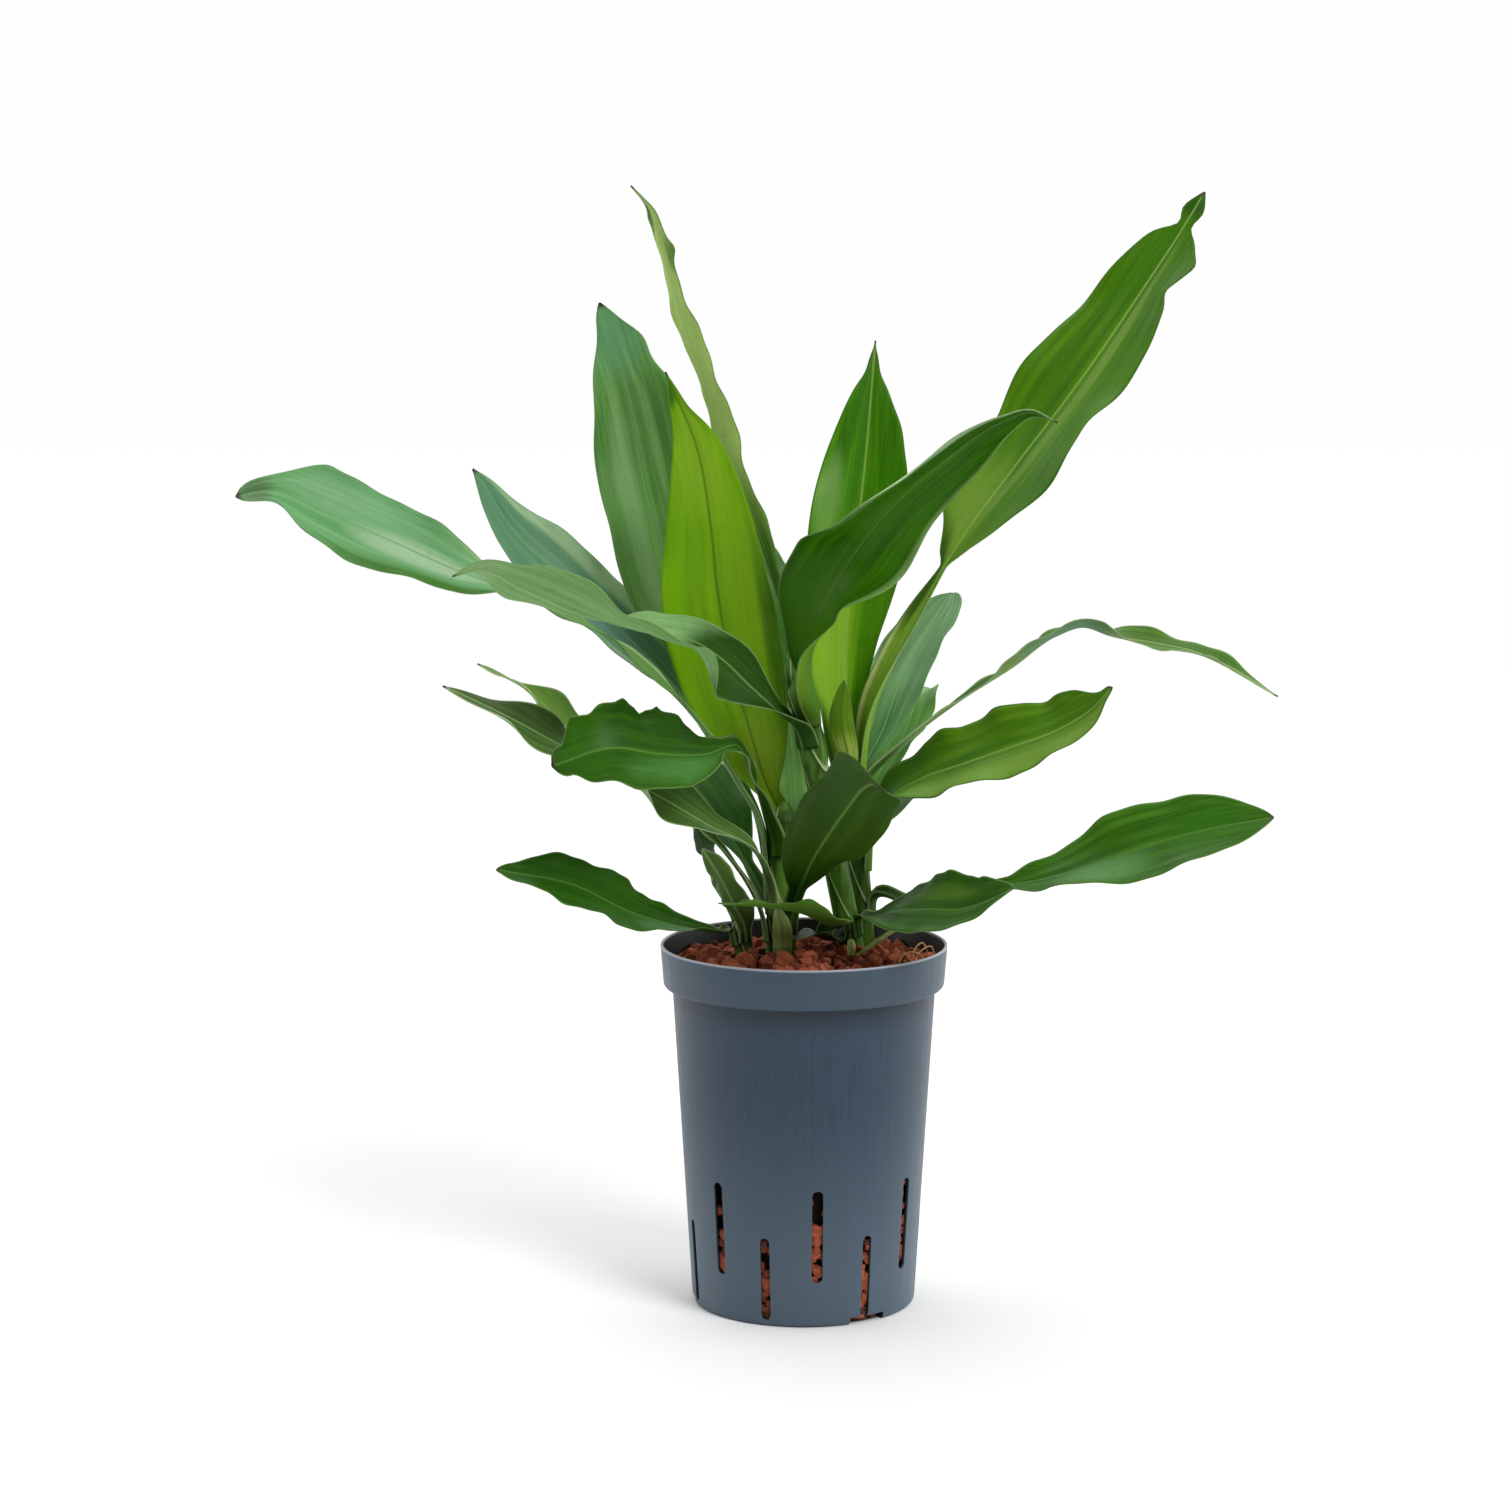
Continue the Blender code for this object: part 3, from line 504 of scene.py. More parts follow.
    # each lump is broken its own way
    own = put(tree, "GeometryNodeInputNamedAttribute", {"Name": "tone"}, data_type="FLOAT")[0]
    where = put(tree, "ShaderNodeVectorMath", (spot, scaled(tree, (9.0, 5.0, 7.0), own)), operation="ADD")[0]
    rough = sums(tree, "SUBTRACT", noise(tree, where, sizes["breaks"]), 0.5)
    rough = scaled(tree, normal, sums(tree, "MULTIPLY", rough, sizes["broken"]))
    lumps = put(tree, "GeometryNodeSetPosition", {"Geometry": lumps, "Offset": rough})[0]
    # pressed flat where they would pass the pot's wall or floor
    reach = sums(tree, "SQRT", sums(tree, "ADD", sums(tree, "MULTIPLY", x, x), sums(tree, "MULTIPLY", y, y)))
    allowed = put(tree, "ShaderNodeMapRange",
                  (z, 0.0, given["Step"], given["FootRoom"], given["StepRoom"]))[0]
    above = compared(tree, z, "GREATER_THAN", given["Step"])
    inputs = {"Switch": above, "False": allowed, "True": given["CollarRoom"]}
    allowed = put(tree, "GeometryNodeSwitch", inputs, input_type="FLOAT")[0]
    squeeze = sums(tree, "MINIMUM", 1.0, sums(tree, "DIVIDE", allowed, reach))
    kept = joined(tree, sums(tree, "MULTIPLY", x, squeeze), sums(tree, "MULTIPLY", y, squeeze),
                  sums(tree, "MAXIMUM", z, given["Floor"]))
    lumps = put(tree, "GeometryNodeSetPosition", {"Geometry": lumps, "Position": kept})[0]
    core = withTone(tree, given["Geometry"], -1.0, "POINT")
    finish(tree, gathered(tree, (lumps, core)), given["Clay"], result)
    return tree


# red-brown fired clay, rough and pitted, a tone for each lump, near black on the core
def firedClay():
    material, tree, shader = newMaterial("firedClay")
    here = objectPlace(tree)
    tone = attribute(tree, "tone")
    dark, light, patches, dusty = [srgb(*tint) for tint in clayPaint]
    patch = noise(tree, here, 320.0, 3.0, 0.6)
    colour = blend(tree, tone, dark, light)
    colour = blend(tree, eased(tree, patch, 0.35, 0.75), colour, patches)
    dust = noise(tree, here, 900.0)
    colour = blend(tree, eased(tree, dust, 0.6, 0.8, 0.0, 0.4), colour, dusty)
    colour = blend(tree, eased(tree, tone, -1.0, -0.5), clayShadow, colour)
    pits = noise(tree, here, 520.0, 4.0, 0.65)
    wire(tree, shader, {"Base Color": colour, "Roughness": eased(tree, patch, 0.2, 0.8, 0.82, 1.0),
                        "Specular IOR Level": 0.25, "Normal": bumps(tree, pits, 0.6, 0.5 * mm)})


def buildGranules():
    sizes, pot = granuleSizes, potSizes
    away = pot["wall"] + sizes["clear"]
    step = potStep + away
    firedClay()
    made = granuleCore()
    nodesModifier(made, granuleTree(), Lump=sizes["lump"], Spacing=sizes["spacing"],
                  UpperSpacing=sizes["upperSpacing"], SideLump=sizes["sideLump"],
                  SideSpacing=sizes["sideSpacing"], SideHigh=sizes["sideHigh"], Seed=sizes["seed"],
                  Slots=pot["slotsInRow"], UpperTurn=math.radians(pot["upperTurn"]),
                  LowerTurn=math.radians(pot["lowerTurn"]), Step=step, Floor=pot["floor"] + sizes["clear"],
                  FootRoom=wallRadius(0) - away, StepRoom=wallRadius(step) - away,
                  CollarRoom=pot["collarFoot"] - away)
    smoothShaded(baked(made).data, 55)
    return made


# The stems: each a straight shoot with the rings where older leaves sat, narrowing to its bud.

stemShapes = {
    "stemTall": {"ground": (26, 26), "tip": (-4, -4, 331), "radius": 6.5},
    "stemRight": {"ground": (32, 42), "tip": (24, 34, 288), "radius": 6.5},
    "stemMiddle": {"ground": (-12, 14), "tip": (-10, 14, 262), "radius": 8},
    "stemLeft": {"ground": (-31, 6), "tip": (-34, 6, 205), "radius": 5},
}
stemRule = {"ground": 182, "foot": 158, "rings": 34 * mm, "groove": 0.02, "bud": 9 * mm, "sides": 32,
            "budEnd": 0.3, "steps": 130}
# in 0 to 255: the darker and lighter green, flecks, the pale margin and the shade below it
barkPaint = ((38, 74, 14), (88, 128, 40), (150, 164, 118), (186, 202, 146), (16, 38, 6))


# the solid that a piece stands for, as leaf_arch_right for leafArchRight
def nodeOf(name):
    return re.sub("[A-Z]", lambda capital: "_" + capital[0].lower(), name)


def stemPoint(stem, z):
    ground = Vector((*stem["ground"], stemRule["ground"]))
    tip = Vector(stem["tip"])
    return (ground + (tip - ground) * (z - ground.z) / (tip.z - ground.z)) * mm


def stemTree():
    tree, given, result = newTree("ringedStem", Foot=(0.0, 0.0, 0.0), Tip=(0.0, 0.0, 1.0), Radius=6 * mm,
                                  Rings=9 * mm, Groove=0.06, Bud=9 * mm, Sides=32,
                                  Bark=bpy.data.materials["stemBark"])
    line = put(tree, "GeometryNodeCurvePrimitiveLine", {"Start": given["Foot"], "End": given["Tip"]})[0]
    line = put(tree, "GeometryNodeResampleCurve", {"Curve": line, "Count": stemRule["steps"]})[0]
    along = put(tree, "GeometryNodeSplineParameter")["Length"]
    length = put(tree, "GeometryNodeSplineLength")[0]
    saw = sums(tree, "FRACT", sums(tree, "DIVIDE", along, given["Rings"]))
    ring = sums(tree, "MULTIPLY", eased(tree, saw, 0.0, 0.12), eased(tree, saw, 1.0, 0.3, 0.4, 1.0))
    groove = sums(tree, "MULTIPLY", sums(tree, "SUBTRACT", 1.0, ring), given["Groove"])
    radius = sums(tree, "SUBTRACT", 1.0, groove)
    left = sums(tree, "DIVIDE", sums(tree, "SUBTRACT", length, along), given["Bud"])
    radius = sums(tree, "MULTIPLY", radius, eased(tree, left, 0.0, 1.0, stemRule["budEnd"], 1.0))
    radius = sums(tree, "MULTIPLY", radius, given["Radius"])
    line = put(tree, "GeometryNodeSetCurveRadius", {"Curve": line, "Radius": radius})[0]
    circle = put(tree, "GeometryNodeCurvePrimitiveCircle", {"Resolution": given["Sides"], "Radius": 1.0})[0]
    sweep = put(tree, "GeometryNodeCurveToMesh", {
        "Curve": line, "Profile Curve": circle, "Scale": put(tree, "GeometryNodeInputRadius")[0],
        "Fill Caps": True})
    finish(tree, sweep[0], given["Bark"], result)
    return tree


# the clasping feet of the leaves: dark green, each with a pale margin that runs down aslant
def stemBark():
    material, tree, shader = newMaterial("stemBark")
    here = objectPlace(tree)
    x, y, z = parted(tree, here)
    dark, light, fleck, pale, shade = [srgb(*tint) for tint in barkPaint]
    flecks = noise(tree, here, 420.0)
    stretched = put(tree, "ShaderNodeMapping", {"Vector": here, "Scale": (1.0, 1.0, 0.16)})[0]
    clouds = noise(tree, stretched, 180.0, 3.0)
    colour = blend(tree, eased(tree, clouds, 0.3, 0.7), dark, light)
    colour = blend(tree, eased(tree, flecks, 0.7, 0.76, 0.0, 0.5), colour, fleck)
    aslant = sums(tree, "ADD", x, sums(tree, "MULTIPLY", y, -0.6))
    aslant = sums(tree, "ADD", sums(tree, "MULTIPLY", aslant, 2.6), z)
    margin = sums(tree, "FRACT", sums(tree, "DIVIDE", aslant, stemRule["rings"]))
    colour = blend(tree, eased(tree, margin, 0.1, 0.02, 0.0, 0.9), colour, pale)
    colour = blend(tree, eased(tree, margin, 0.8, 1.0, 0.0, 0.6), colour, shade)
    wire(tree, shader, {"Base Color": colour, "Roughness": 0.5, "Specular IOR Level": 0.2,
                        "Normal": bumps(tree, clouds, 0.35, 0.3 * mm)})


def buildStems():
    stemBark()
    tree = stemTree()
    together = bmesh.new()
    made = []
    for name, stem in stemShapes.items():
        shoot = newObject(name, bpy.data.meshes.new(name))
        nodesModifier(shoot, tree, Foot=stemPoint(stem, stemRule["foot"]),
                      Tip=stemPoint(stem, stem["tip"][2]), Radius=stem["radius"] * mm,
                      Rings=stemRule["rings"], Groove=stemRule["groove"], Bud=stemRule["bud"],
                      Sides=stemRule["sides"])
        baked(shoot).data.shade_smooth()
        together.from_mesh(shoot.data)
        made.append(shoot)
    mesh = bpy.data.meshes.new("allStems")
    together.to_mesh(mesh)
    together.free()
    newObject("allStems", mesh)
    return made


# The leaves. Each grows from a stem at a height (mm) on a bearing (degrees from +X); its midrib runs
# through the course (mm) and it turns to face a heading. Width and stalk are in mm; neck is the share of
# the length that is stalk, belly where the blade is widest, full how soon it tapers. Fold and roll are
# spread along the leaf, in radians and degrees. Wave is the margin's height in mm, its number of waves and
# the phase at each side. A lobe swells or draws in a margin: its side (0 for both), place, share and reach.

leafRule = {
    "rows": 120, "columns": 24, "within": 0.01 * mm,
    "thick": 0.7 * mm, "thinMargin": 0.4, "marginFrom": 0.8, "tipWidth": 0.5 * mm,
    "stemGap": 0.8 * mm, "sheathRise": 9, "stalk": 6, "stalkEnd": 0.75, "stalkFade": 0.6,
    "turnShare": 0.3, "fold": (0.5, 0.3),
    "phases": (0, 0.3), "wavesFrom": (0.15, 0.45, 0.85), "rightWaves": 1.13,
    "fullRelief": 12 * mm, "pleat": 0.14 * mm, "pleats": 4.5, "rib": 0.6 * mm, "ribWidth": 1.4 * mm,
    "ripple": 0.5 * mm, "ripples": 2.7, "rippleSlant": 0.4,
}

leafShapes = {
    "leafArchRight": {
        "stem": "stemTall", "height": 305, "bearing": -25, "faces": 0,
        "course": [(3, -11, 334), (5, -16, 354), (11, -22, 373), (22, -30, 392), (41, -41, 418),
                   (68, -53, 443), (97, -61, 464), (111, -63, 469), (124, -65, 464)],
        "width": 56, "neck": 0, "belly": 0.38, "full": 2, "stalk": 7, "fold": (1, 1.1),
        "roll": (20, 45, 112, 124, 120, 112), "wave": (2.5, 2.5, 0.2, 0.5), "look": "dark"},
    "leafArchLeft": {
        "stem": "stemTall", "height": 292, "bearing": 235, "faces": 200,
        "course": [(-13, -24, 314), (-28, -40, 330), (-43, -55, 346), (-57, -66, 356), (-77, -78, 361),
                   (-108, -88, 371), (-140, -96, 386), (-160, -100, 395), (-173, -102, 391)],
        "width": 52, "neck": 0.18, "belly": 0.52, "full": 1.8, "stalk": 9,
        "roll": (-28, -76, -58, -24, 6, 25, 30, 28), "wave": (3, 3, 0.1, 0.6),
        "lobes": [(-1, 0.42, -0.45, 0.1), (1, 0.38, 0.45, 0.1)], "look": "grey"},
    "leafTallThin": {
        "stem": "stemTall", "height": 315, "bearing": 115, "faces": 180,
        "course": [(-8, 23, 349), (-14, 24, 370), (-21, 24, 392), (-30, 25, 416), (-39, 25, 440),
                   (-46, 26, 466), (-59, 26, 500), (-67, 24, 526), (-74, 21, 550), (-79, 18, 569),
                   (-89, 16, 581)],
        "width": 20, "neck": 0.1, "roll": (35, 35, 32, 35, 35, 50), "wave": (1.5, 5),
        "lobes": [(-1, 0.93, 0.6, 0.015), (1, 0.87, 0.5, 0.015), (0, 0.97, -0.4, 0.02)], "look": "pale"},
    "leafBrightFront": {
        "stem": "stemMiddle", "height": 241, "bearing": 95, "faces": 85,
        "course": [(-20, 20, 272), (-28, 18, 299), (-35, 16, 323), (-41, 12, 349), (-45, 6, 375),
                   (-48, -1, 406), (-55, -5, 447), (-71, -9, 487)],
        "width": 61, "neck": 0.1, "belly": 0.4, "full": 2, "roll": (0, 0, 0, 5), "wave": (2.5, 3, 0.3, 0.5),
        "lobes": [(-1, 0.93, -0.35, 0.04), (1, 0.95, 0.2, 0.03)], "look": "young"},
    "leafBlueUpright": {
        "stem": "stemMiddle", "height": 228, "bearing": 105, "faces": 100,
        "course": [(-20, 33, 272), (-32, 41, 308), (-50, 44, 340), (-66, 46, 368), (-80, 50, 418),
                   (-91, 52, 470), (-107, 52, 521)],
        "width": 58, "neck": 0.25, "full": 1.6, "roll": (0, 5, 5, 0), "wave": (4, 4, 0.1, 0.4),
        "lobes": [(-1, 0.84, 0.14, 0.03), (1, 0.95, -0.3, 0.04), (-1, 0.93, 0.3, 0.03)], "look": "blue"},
    "leafFarLeft": {
        "stem": "stemMiddle", "height": 220, "bearing": 182, "faces": 180,
        "course": [(-24, 8, 253), (-36, 4, 275), (-55, 0, 306), (-84, -5, 337), (-110, -8, 357),
                   (-148, -11, 375), (-179, -16, 387), (-213, -21, 403), (-246, -26, 418), (-271, -28, 428),
                   (-288, -30, 425)],
        "width": 46, "neck": 0.58, "belly": 0.58, "full": 1.5, "roll": (-5, -20, -50, -52, -40),
        "wave": (2.5, 6),
        "lobes": [(1, 0.94, -0.5, 0.04), (-1, 0.955, -0.3, 0.03), (-1, 0.9, 0.2, 0.03)], "look": "blue"},
    "leafLeftSecond": {
        "stem": "stemMiddle", "height": 206, "bearing": 145, "faces": 170,
        "course": [(-28, 26, 261), (-48, 32, 294), (-73, 36, 327), (-97, 38, 351), (-128, 40, 379),
                   (-155, 40, 406), (-167, 38, 426), (-173, 36, 435)],
        "width": 44, "neck": 0.35, "roll": (0, -25, -45, -40), "wave": (2.5, 4), "look": "blue"},
    "leafLeftBent": {
        "stem": "stemMiddle", "height": 234, "bearing": 235, "faces": 200,
        "course": [(-20, 2, 257), (-27, -12, 280), (-34, -26, 297), (-51, -48, 296), (-73, -68, 299),
                   (-97, -82, 304), (-126, -90, 296)],
        "width": 47, "neck": 0.45, "belly": 0.6, "full": 1.5, "stalk": 8,
        "roll": (-10, -40, -60, -60, -55, -50), "wave": (3, 5),
        "lobes": [(1, 0.46, -0.5, 0.06), (-1, 0.7, 0.1, 0.012), (-1, 0.75, -0.1, 0.012),
                  (-1, 0.8, 0.12, 0.012), (-1, 0.87, -0.14, 0.015), (-1, 0.91, 0.15, 0.012),
                  (0, 0.955, -0.3, 0.02)], "look": "green"},
    "leafLeftLong": {
        "stem": "stemMiddle", "height": 203, "bearing": 228, "faces": 190,
        "course": [(-26, -2, 239), (-51, -12, 255), (-77, -22, 272), (-104, -34, 288), (-129, -44, 303),
                   (-154, -52, 318), (-182, -58, 332)],
        "width": 36, "neck": 0.1, "roll": (-20, -35, 10, -35, -30), "wave": (4, 3), "look": "grey"},
    "leafLeftUnder": {
        "stem": "stemMiddle", "height": 188, "bearing": 185, "faces": 180,
        "course": [(-29, 5, 219), (-43, 4, 239), (-60, 6, 256), (-85, 10, 273), (-116, 13, 295),
                   (-148, 14, 324), (-170, 14, 335)],
        "width": 32, "neck": 0.4, "roll": (-5, -10, -20, -10), "wave": (3, 4),
        "lobes": [(0, 0.9, -0.7, 0.06), (1, 0.8, 0.15, 0.03)], "look": "grey"},
    "leafFrontRound": {
        "stem": "stemMiddle", "height": 192, "bearing": -60, "faces": -65,
        "course": [(1, -25, 232), (11, -60, 256), (20, -92, 275), (28, -120, 290), (32, -135, 294),
                   (35, -147, 293)],
        "width": 46, "neck": 0.16, "belly": 0.55, "full": 1.1, "roll": (-20, -45, -48, -42),
        "wave": (1.5, 3), "lobes": [(-1, 0.7, -0.12, 0.1), (-1, 0.92, 0.45, 0.07), (1, 0.9, 0.14, 0.05)],
        "look": "green"},
    "leafBackGrey": {
        "stem": "stemMiddle", "height": 208, "bearing": 50, "faces": 70,
        "course": [(-4, 36, 260), (-6, 52, 279), (-9, 72, 298), (-15, 100, 311)],
        "width": 42, "neck": 0.1, "wave": (3, 3, 0, 0.4), "look": "blue"},
    "leafTopRight": {
        "stem": "stemRight", "height": 272, "bearing": 10, "faces": 30,
        "course": [(36, 34, 307), (47, 34, 335), (64, 38, 366), (80, 44, 393), (110, 56, 433),
                   (145, 72, 477), (180, 92, 525), (206, 106, 563), (216, 110, 579)],
        "width": 64, "neck": 0.33, "belly": 0.4, "full": 1.3, "stalk": 6, "roll": (10, 20, 25, 25),
        "wave": (3, 4),
        "lobes": [(1, 0.36, -0.35, 0.05), (0, 0.13, 0.9, 0.14), (1, 0.43, 0.22, 0.03), (1, 0.54, -0.12, 0.04),
                  (-1, 0.5, 0.22, 0.05), (-1, 0.6, -0.08, 0.03), (-1, 0.83, -0.22, 0.02),
                  (-1, 0.885, 0.3, 0.02), (0, 0.945, -0.6, 0.018), (0, 0.975, 0.12, 0.02)],
        "look": "fresh"},
    "leafCentreBack": {
        "stem": "stemRight", "height": 278, "bearing": 122, "faces": 90,
        "course": [(22, 48, 312), (23, 58, 348), (28, 70, 390), (34, 82, 442), (39, 95, 500)],
        "width": 54, "neck": 0, "belly": 0.55, "full": 3, "stalk": 7.5, "wave": (2, 3),
        "lobes": [(1, 0.12, 1.2, 0.16), (0, 0.93, -0.25, 0.03), (-1, 0.8, 0.06, 0.04)], "look": "fresh"},
    "leafRightBack": {
        "stem": "stemRight", "height": 258, "bearing": 60, "faces": 60,
        "course": [(43, 56, 296), (50, 71, 313), (59, 91, 330), (71, 112, 347), (82, 130, 361)],
        "width": 44, "neck": 0.1, "belly": 0.6, "full": 1.2, "roll": (0, -6, -10, -10),
        "wave": (1, 2), "look": "blue"},
    "leafRightBackLow": {
        "stem": "stemRight", "height": 240, "bearing": 48, "faces": 45,
        "course": [(49, 56, 284), (56, 68, 298), (61, 84, 309), (63, 110, 312)],
        "width": 36, "neck": 0.2, "wave": (2, 3), "look": "blue"},
    "leafRightThin": {
        "stem": "stemRight", "height": 256, "bearing": -38, "faces": 0,
        "course": [(53, 28, 291), (80, 26, 313), (109, 20, 333), (131, 14, 350), (145, 11, 355),
                   (158, 8, 351), (184, 1, 347), (200, -4, 344), (217, -9, 337), (242, -20, 322)],
        "width": 26, "neck": 0.3, "roll": (0, 0, -10, -14, 12, 16, 10), "wave": (2, 5),
        "look": "pale"},
    "leafRightMid": {
        "stem": "stemRight", "height": 222, "bearing": -20, "faces": -20,
        "course": [(37, 25, 248), (45, 13, 265), (61, 0, 277), (80, -14, 286), (105, -28, 297),
                   (129, -40, 308), (144, -48, 319), (154, -54, 331)],
        "width": 48, "neck": 0.15, "belly": 0.5, "full": 1.05, "roll": (14, 40, 46, 45),
        "wave": (2.5, 4), "lobes": [(0, 0.97, -0.5, 0.05), (0, 0.24, 0.45, 0.1)], "look": "fresh"},
    "leafRightLow": {
        "stem": "stemRight", "height": 196, "bearing": -5, "faces": -5,
        "course": [(61, 14, 207), (94, 0, 219), (125, -10, 226), (152, -18, 236), (178, -24, 246),
                   (207, -30, 255), (239, -36, 262)],
        "width": 50, "neck": 0.4, "belly": 0.52, "full": 1.5, "stalk": 8, "roll": (10, 25, 42, 40),
        "wave": (2, 4), "look": "green"},
    "leafSpear": {
        "stem": "stemRight", "height": 275, "bearing": -95, "faces": -90,
        "course": [(20, 26, 301), (21, 24, 325)],
        "width": 13, "neck": 0, "full": 1.5, "stalk": 4, "wave": (0, 1, 0, 0), "look": "dark"},
    "leafBackRight": {
        "stem": "stemRight", "height": 218, "bearing": 78, "faces": 70,
        "course": [(40, 66, 246), (50, 92, 256), (60, 128, 258), (68, 168, 246)],
        "width": 50, "neck": 0.15, "wave": (3, 3, 0, 0.4), "look": "green"},
    "leafRightFrontLow": {
        "stem": "stemTall", "height": 190, "bearing": -25, "faces": -35,
        "course": [(36, 5, 203), (49, -25, 212), (63, -50, 217), (80, -75, 222), (102, -98, 236)],
        "width": 46, "neck": 0.12, "belly": 0.5, "full": 1.4, "roll": (5, 30, 38, 30),
        "wave": (1.5, 3), "look": "green"},
    "leafFrontLow": {
        "stem": "stemTall", "height": 188, "bearing": -130, "faces": -140,
        "course": [(14, -3, 200), (-2, -20, 210), (-23, -35, 216), (-44, -45, 219)],
        "width": 30, "neck": 0.05, "roll": (0, 10, 0), "wave": (1.5, 3), "look": "green"},
    "leafBackTall": {
        "stem": "stemTall", "height": 270, "bearing": 75, "faces": 95,
        "course": [(-5, 34, 314), (-15, 62, 342), (-28, 95, 366), (-38, 135, 378), (-46, 175, 376),
                   (-52, 205, 362)],
        "width": 52, "neck": 0.18, "wave": (3, 3, 0, 0.4), "look": "green"},
    "leafLowLeft": {
        "stem": "stemLeft", "height": 187, "bearing": 200, "faces": 190,
        "course": [(-43, -6, 197), (-59, -16, 201), (-89, -36, 213), (-119, -50, 230), (-156, -60, 239)],
        "width": 36, "neck": 0.1, "belly": 0.55, "full": 1.5, "stalk": 4.5, "roll": (-5, -30, -40, -30),
        "wave": (2, 4), "look": "green"},
    "leafLeftShort": {
        "stem": "stemLeft", "height": 192, "bearing": 115, "faces": 170,
        "course": [(-44, 14, 214), (-53, 16, 238), (-60, 18, 261)],
        "width": 30, "neck": 0.1, "stalk": 4.5, "roll": (0, -20), "wave": (2, 3, 0, 0.4), "look": "dark"},
    "leafLeftShorter": {
        "stem": "stemLeft", "height": 190, "bearing": 290, "faces": 240,
        "course": [(-36, -8, 212), (-44, -10, 228), (-53, -9, 242)],
        "width": 24, "neck": 0.1, "stalk": 4, "roll": (0, -10), "wave": (1.5, 2, 0, 0.4),
        "lobes": [(0, 0.6, -0.3, 0.3)], "look": "dark"},
    "leafBackLeft": {
        "stem": "stemMiddle", "height": 187, "bearing": 100, "faces": 125,
        "course": [(-20, 34, 208), (-38, 58, 236), (-62, 92, 262), (-90, 125, 273), (-112, 150, 268)],
        "width": 50, "neck": 0.25, "roll": (0, -10, 0), "wave": (3, 3, 0, 0.4), "look": "green"},
}

# Colours in 0 to 255 for each look: upper side, its darker streaks, the lighter ones, underside, stalk,
# midrib line and margin. Gloss is the roughness of its waxiest places.
leafLooks = {
    "young": {"blade": (104, 148, 6), "dark": (84, 128, 3), "light": (126, 168, 34),
              "under": (118, 152, 40), "stalk": (84, 120, 20), "rib": (70, 108, 6),
              "edge": (96, 140, 20), "gloss": 0.42},
    "fresh": {"blade": (72, 130, 6), "dark": (48, 102, 3), "light": (110, 158, 36),
              "under": (108, 144, 50), "stalk": (70, 110, 18), "rib": (134, 172, 72),
              "edge": (58, 100, 26), "gloss": 0.4},
    "green": {"blade": (42, 94, 12), "dark": (24, 68, 4), "light": (74, 128, 36),
              "under": (74, 112, 40), "stalk": (34, 70, 12), "rib": (84, 130, 48),
              "edge": (110, 142, 76), "gloss": 0.4},
    "dark": {"blade": (30, 74, 4), "dark": (18, 52, 2), "light": (58, 104, 20),
             "under": (84, 116, 46), "stalk": (30, 62, 8), "rib": (78, 118, 40),
             "edge": (110, 142, 76), "gloss": 0.4},
    "blue": {"blade": (76, 128, 76), "dark": (54, 102, 50), "light": (118, 160, 112),
             "under": (104, 142, 96), "stalk": (60, 98, 36), "rib": (104, 150, 96),
             "edge": (92, 136, 74), "gloss": 0.36},
    "grey": {"blade": (50, 96, 26), "dark": (34, 74, 14), "light": (104, 144, 78),
             "under": (98, 146, 98), "stalk": (40, 78, 16), "rib": (126, 158, 92),
             "edge": (140, 168, 112), "gloss": 0.4},
    "pale": {"blade": (92, 138, 50), "dark": (58, 104, 24), "light": (140, 170, 98),
             "under": (134, 162, 96), "stalk": (84, 124, 52), "rib": (160, 184, 122),
             "edge": (84, 126, 50), "gloss": 0.42},
}
driedTip, stalkMargin = (58, 50, 30), (160, 184, 120)
